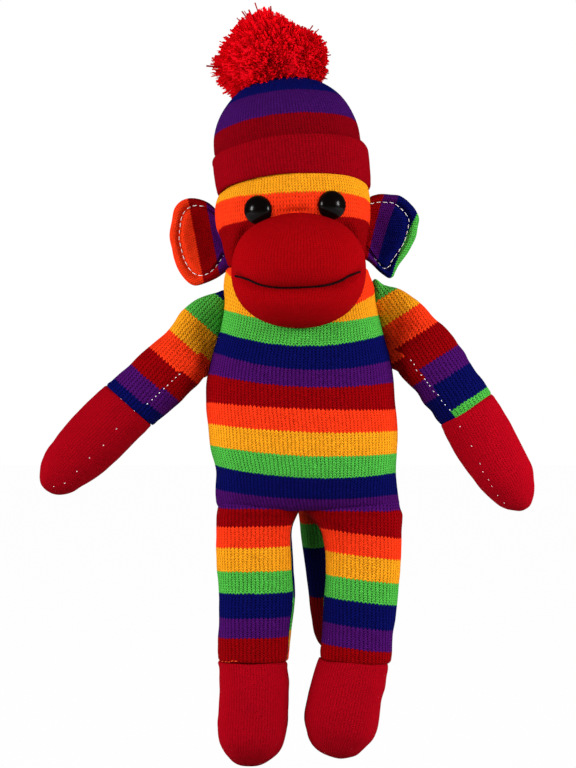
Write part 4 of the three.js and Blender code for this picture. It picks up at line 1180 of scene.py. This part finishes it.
# The cuff is rolled deeper on the doll's left, and the crown leans to its right
lowness = np.clip(1 - rings[:, 1:] / 22, 0, 1)
sideways = (points[..., 0] - hat_base[0]) / (42 * mm)
points[..., 2] -= np.where(sideways > 0, 3, 1.2) * mm * sideways * lowness
points[..., 0] += np.interp(rings[:, 1:], [18, 26], [0.5, -0.7]) * mm
points = filled_out(points, (24, 0.7))
walk = np.concatenate([[0], np.cumsum(np.linalg.norm(np.diff(rings, axis=0), axis=1))])
edge_at = [walk[np.argmax(rings[:, 1] < height)] for _, height in hat_stripes]
counts = np.round(np.diff([0] + edge_at) / course).astype(int).tolist()
stripes = [(colour, count) for (colour, _), count in zip(hat_stripes, counts)] + [("claret", 150)]
courses = np.repeat((walk / course)[:, None], columns, axis=1)
hat = skin("hat_skin", points, courses, knit("hat_knit", stripes, depth=0.25, pit=0.12, fineness=1.15), 124)
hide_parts("hat")
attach(hat, "hat")

# Pompom: wool wound on a card, tied through the crown and cut, so that its strands stand out in lobes.
pompom_centre = (hat_base / mm + 72 * hat_up) * mm
# How far the yarn reaches from the middle, in millimetres, each way
pompom_lobes = [
    ((-1, 0, -0.45), 33), ((-1, 0, 0), 40), ((-0.9, 0, 0.42), 39), ((-0.75, 0, 0.5), 31),
    ((-0.66, 0, 0.75), 36),
    ((-0.3, 0, 0.95), 36), ((0, 0, 1), 29), ((0.33, 0, 0.94), 24), ((0.55, 0, 0.83), 26.5),
    ((0.82, 0, 0.57), 29.5),
    ((0.95, 0, 0.25), 27), ((1, 0, -0.1), 26), ((0.9, 0, -0.4), 24.5), ((0, -1, 0), 28), ((0, 1, 0), 28),
    ((-0.6, -0.8, 0), 31), ((0.5, -0.85, 0.2), 27), ((0, -0.75, 0.66), 29),
]
# Stands cut strands of yarn out of a small core
burst = geometry_tree(
    "yarn_burst",
    {
        "Core": "Geometry",
        "Density": "Float",
        "Length": "Float",
        "Thickness": "Float",
        "Wander": "Float",
        "Seed": "Int",
        "Yarn": "Material",
    },
    "Strands",
    {
        "spread": ("GeometryNodeDistributePointsOnFaces", {}, {}),
        "reach": ("GeometryNodeInputNamedAttribute", {"data_type": "FLOAT"}, {"Name": "reach"}),
        "line": ("GeometryNodeCurvePrimitiveLine", {}, {"End": (0, 0, 1)}),
        "steps": ("GeometryNodeResampleCurve", {}, {"Count": 4}),
        "ring": ("GeometryNodeCurvePrimitiveCircle", {}, {"Resolution": 4, "Radius": 0.5}),
        "strand": ("GeometryNodeCurveToMesh", {}, {"Fill Caps": True}),
        "vary": ("FunctionNodeRandomValue", {"data_type": "FLOAT"}, {"Min": 0.72, "Max": 1.05}),
        "longer": ("ShaderNodeMath", {"operation": "MULTIPLY"}, {}),
        "girth": ("FunctionNodeRandomValue", {"data_type": "FLOAT"}, {"Min": 0.3, "Max": 1.1, "Seed": 11}),
        "thinner": ("ShaderNodeMath", {"operation": "MULTIPLY"}, {}),
        "longest": ("ShaderNodeMath", {"operation": "MULTIPLY"}, {}),
        "size": ("ShaderNodeCombineXYZ", {}, {}),
        "lean": (
            "FunctionNodeRandomValue",
            {"data_type": "FLOAT_VECTOR"},
            {"Min": (-0.16, -0.16, -0.16), "Max": (0.16, 0.16, 0.16)},
        ),
        "tilt": ("ShaderNodeVectorMath", {"operation": "ADD"}, {}),
        "aim": ("FunctionNodeAlignRotationToVector", {"axis": "Z"}, {}),
        "place": ("GeometryNodeInstanceOnPoints", {}, {}),
        "real": ("GeometryNodeRealizeInstances", {}, {}),
        "where": ("GeometryNodeInputPosition", {}, {}),
        "wave": ("ShaderNodeTexNoise", {}, {"Scale": 110, "Detail": 1}),
        "centred": ("ShaderNodeVectorMath", {"operation": "SUBTRACT"}, {1: (0.5, 0.5, 0.5)}),
        "scaled": ("ShaderNodeVectorMath", {"operation": "SCALE"}, {}),
        "shift": ("GeometryNodeSetPosition", {}, {}),
        "smooth": ("GeometryNodeSetShadeSmooth", {}, {}),
        "dress": ("GeometryNodeSetMaterial", {}, {}),
    },
    (
        ("given", "Core", "spread", "Mesh"),
        ("given", "Density", "spread", "Density"),
        ("given", "Seed", "spread", "Seed"),
        ("line", 0, "steps", "Curve"),
        ("steps", 0, "strand", "Curve"),
        ("ring", 0, "strand", "Profile Curve"),
        ("given", "Seed", "vary", "Seed"),
        ("given", "Length", "longer", 0),
        ("vary", 1, "longer", 1),
        ("longer", 0, "longest", 0),
        ("reach", 0, "longest", 1),
        ("given", "Thickness", "thinner", 0),
        ("girth", 1, "thinner", 1),
        ("thinner", 0, "size", "X"),
        ("thinner", 0, "size", "Y"),
        ("longest", 0, "size", "Z"),
        ("spread", "Normal", "tilt", 0),
        ("lean", 0, "tilt", 1),
        ("tilt", 0, "aim", "Vector"),
        ("spread", "Points", "place", "Points"),
        ("strand", 0, "place", "Instance"),
        ("aim", 0, "place", "Rotation"),
        ("size", 0, "place", "Scale"),
        ("place", 0, "real", 0),
        ("real", 0, "shift", "Geometry"),
        ("where", 0, "wave", "Vector"),
        ("wave", "Color", "centred", 0),
        ("centred", 0, "scaled", 0),
        ("given", "Wander", "scaled", "Scale"),
        ("scaled", 0, "shift", "Offset"),
        ("shift", 0, "smooth", 0),
        ("smooth", 0, "dress", "Geometry"),
        ("given", "Yarn", "dress", "Material"),
        ("dress", 0, "result", 0),
    ),
)


def pompom_wool(name, tone):
    """Bright red wool, darker deep in the ball as painted shade; the tone scales it, down for the stray
    ends and up, as painted light, for the packed heart.
    """
    material, start = new_material(name)
    place = start.node("ShaderNodeTexCoord", {}, {}, "Object")
    from_centre = start.vectors("DISTANCE", place, pompom_centre, output=1)
    # Painted shade: the wool darkens towards the middle of the ball.
    span = {"From Min": 14 * mm, "From Max": 29 * mm, "To Min": 0.75, "To Max": 1.0}
    depth = start.node("ShaderNodeMapRange", {}, {"Value": from_centre, **span})
    fuzz = start.mottle(place, 900.0, 3.0)
    spoke = start.vectors("NORMALIZE", start.vectors("SUBTRACT", place, pompom_centre))
    streak = start.mottle(spoke, 17.0, 3.0)
    clump = start.mottle(place, 170.0, 1.0)
    level = depth * (0.6 + fuzz * 0.25 + clump * 0.3 + streak * 0.4) * tone
    dyed = start.scaled((0.80, 0.0042, 0.014), level)
    relief = start.node("ShaderNodeBump", {}, {"Strength": 0.8, "Distance": 0.3 * mm, "Height": fuzz})
    wool = surface(start, dyed, 0.95, 0.03, relief)
    through = start.node("ShaderNodeBsdfTranslucent", {}, {"Color": dyed})
    wool = start.node("ShaderNodeMixShader", {}, {0: 0.5, 1: wool, 2: through})
    start.node("ShaderNodeOutputMaterial", {}, {"Surface": wool})
    return material


turn = np.linspace(0, 2 * math.pi, 60, endpoint=False)
fall = np.linspace(0.05, 0.72 * math.pi, 40)
ways = directions(fall, turn) @ np.stack([hat_across, hat_deep, hat_up])
far_each_way = np.zeros(ways.shape[:2])
weight = np.zeros(ways.shape[:2])
for direction, far in pompom_lobes:
    direction = np.array(direction) / np.linalg.norm(direction)
    near = np.exp(-((np.linalg.norm(ways - direction, axis=2) / 0.3) ** 2)) + 1e-9
    weight += near
    far_each_way += near * far
far_each_way /= weight
wool = pompom_wool("pompom_wool", 1.0)
ends = pompom_wool("pompom_ends", 0.6)
packed = pompom_centre + ways * (far_each_way * 0.86)[..., None] * mm
packed = filled_out(packed, (7, 2.2), (3, 1.2))
# The packed heart is a lighter copy of the wool: painted light, so that the gaps between strands don't look
# dark.
body = skin("pompom_body", packed, np.zeros(packed.shape[:2]), pompom_wool("pompom_heart_painted_light", 1.3), 1)
# Radius of the core that the strands stand on, and the strand that a reach of 1 stands for
core_radius, strand = 12, 18


def strands(name, density, stretch, thickness, seed, yarn_material):
    """Cut strands that stand out of the middle of the ball, as far as its lobes reach."""
    core = bpy.data.meshes.new(name + "_core")
    rows, columns = ways.shape[:2]
    verts = (pompom_centre + ways * core_radius * mm).reshape(-1, 3)
    onward = [*range(1, columns), 0]
    quads = [
        (r * columns + c, (r + 1) * columns + c, (r + 1) * columns + onward[c], r * columns + onward[c])
        for r in range(rows - 1)
        for c in range(columns)
    ]
    core.from_pydata(verts.tolist(), [], quads)
    reach = (far_each_way - core_radius) / strand
    carried = core.attributes.new("reach", "FLOAT", "POINT")
    carried.data.foreach_set("value", reach.astype(np.float32).ravel())
    core_object = add_object(name + "_core", core)
    sizes = {
        "Density": density,
        "Length": strand * stretch * mm,
        "Thickness": thickness * mm,
        "Wander": 3 * mm,
    }
    return made_real(core_object, burst, {**sizes, "Seed": seed, "Yarn": yarn_material}, name)


for pile in (
    body,
    strands("pompom_strands", 5_000_000.0, 1, 1.1, 4, wool),
    strands("pompom_stray_ends", 100_000.0, 1.13, 0.8, 9, ends),
):
    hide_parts("pompom")
    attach(pile, "pompom")
tie = frame["nodes"]["pompom_tie"]
tie.data.materials.clear()
tie.data.materials.append(wool)
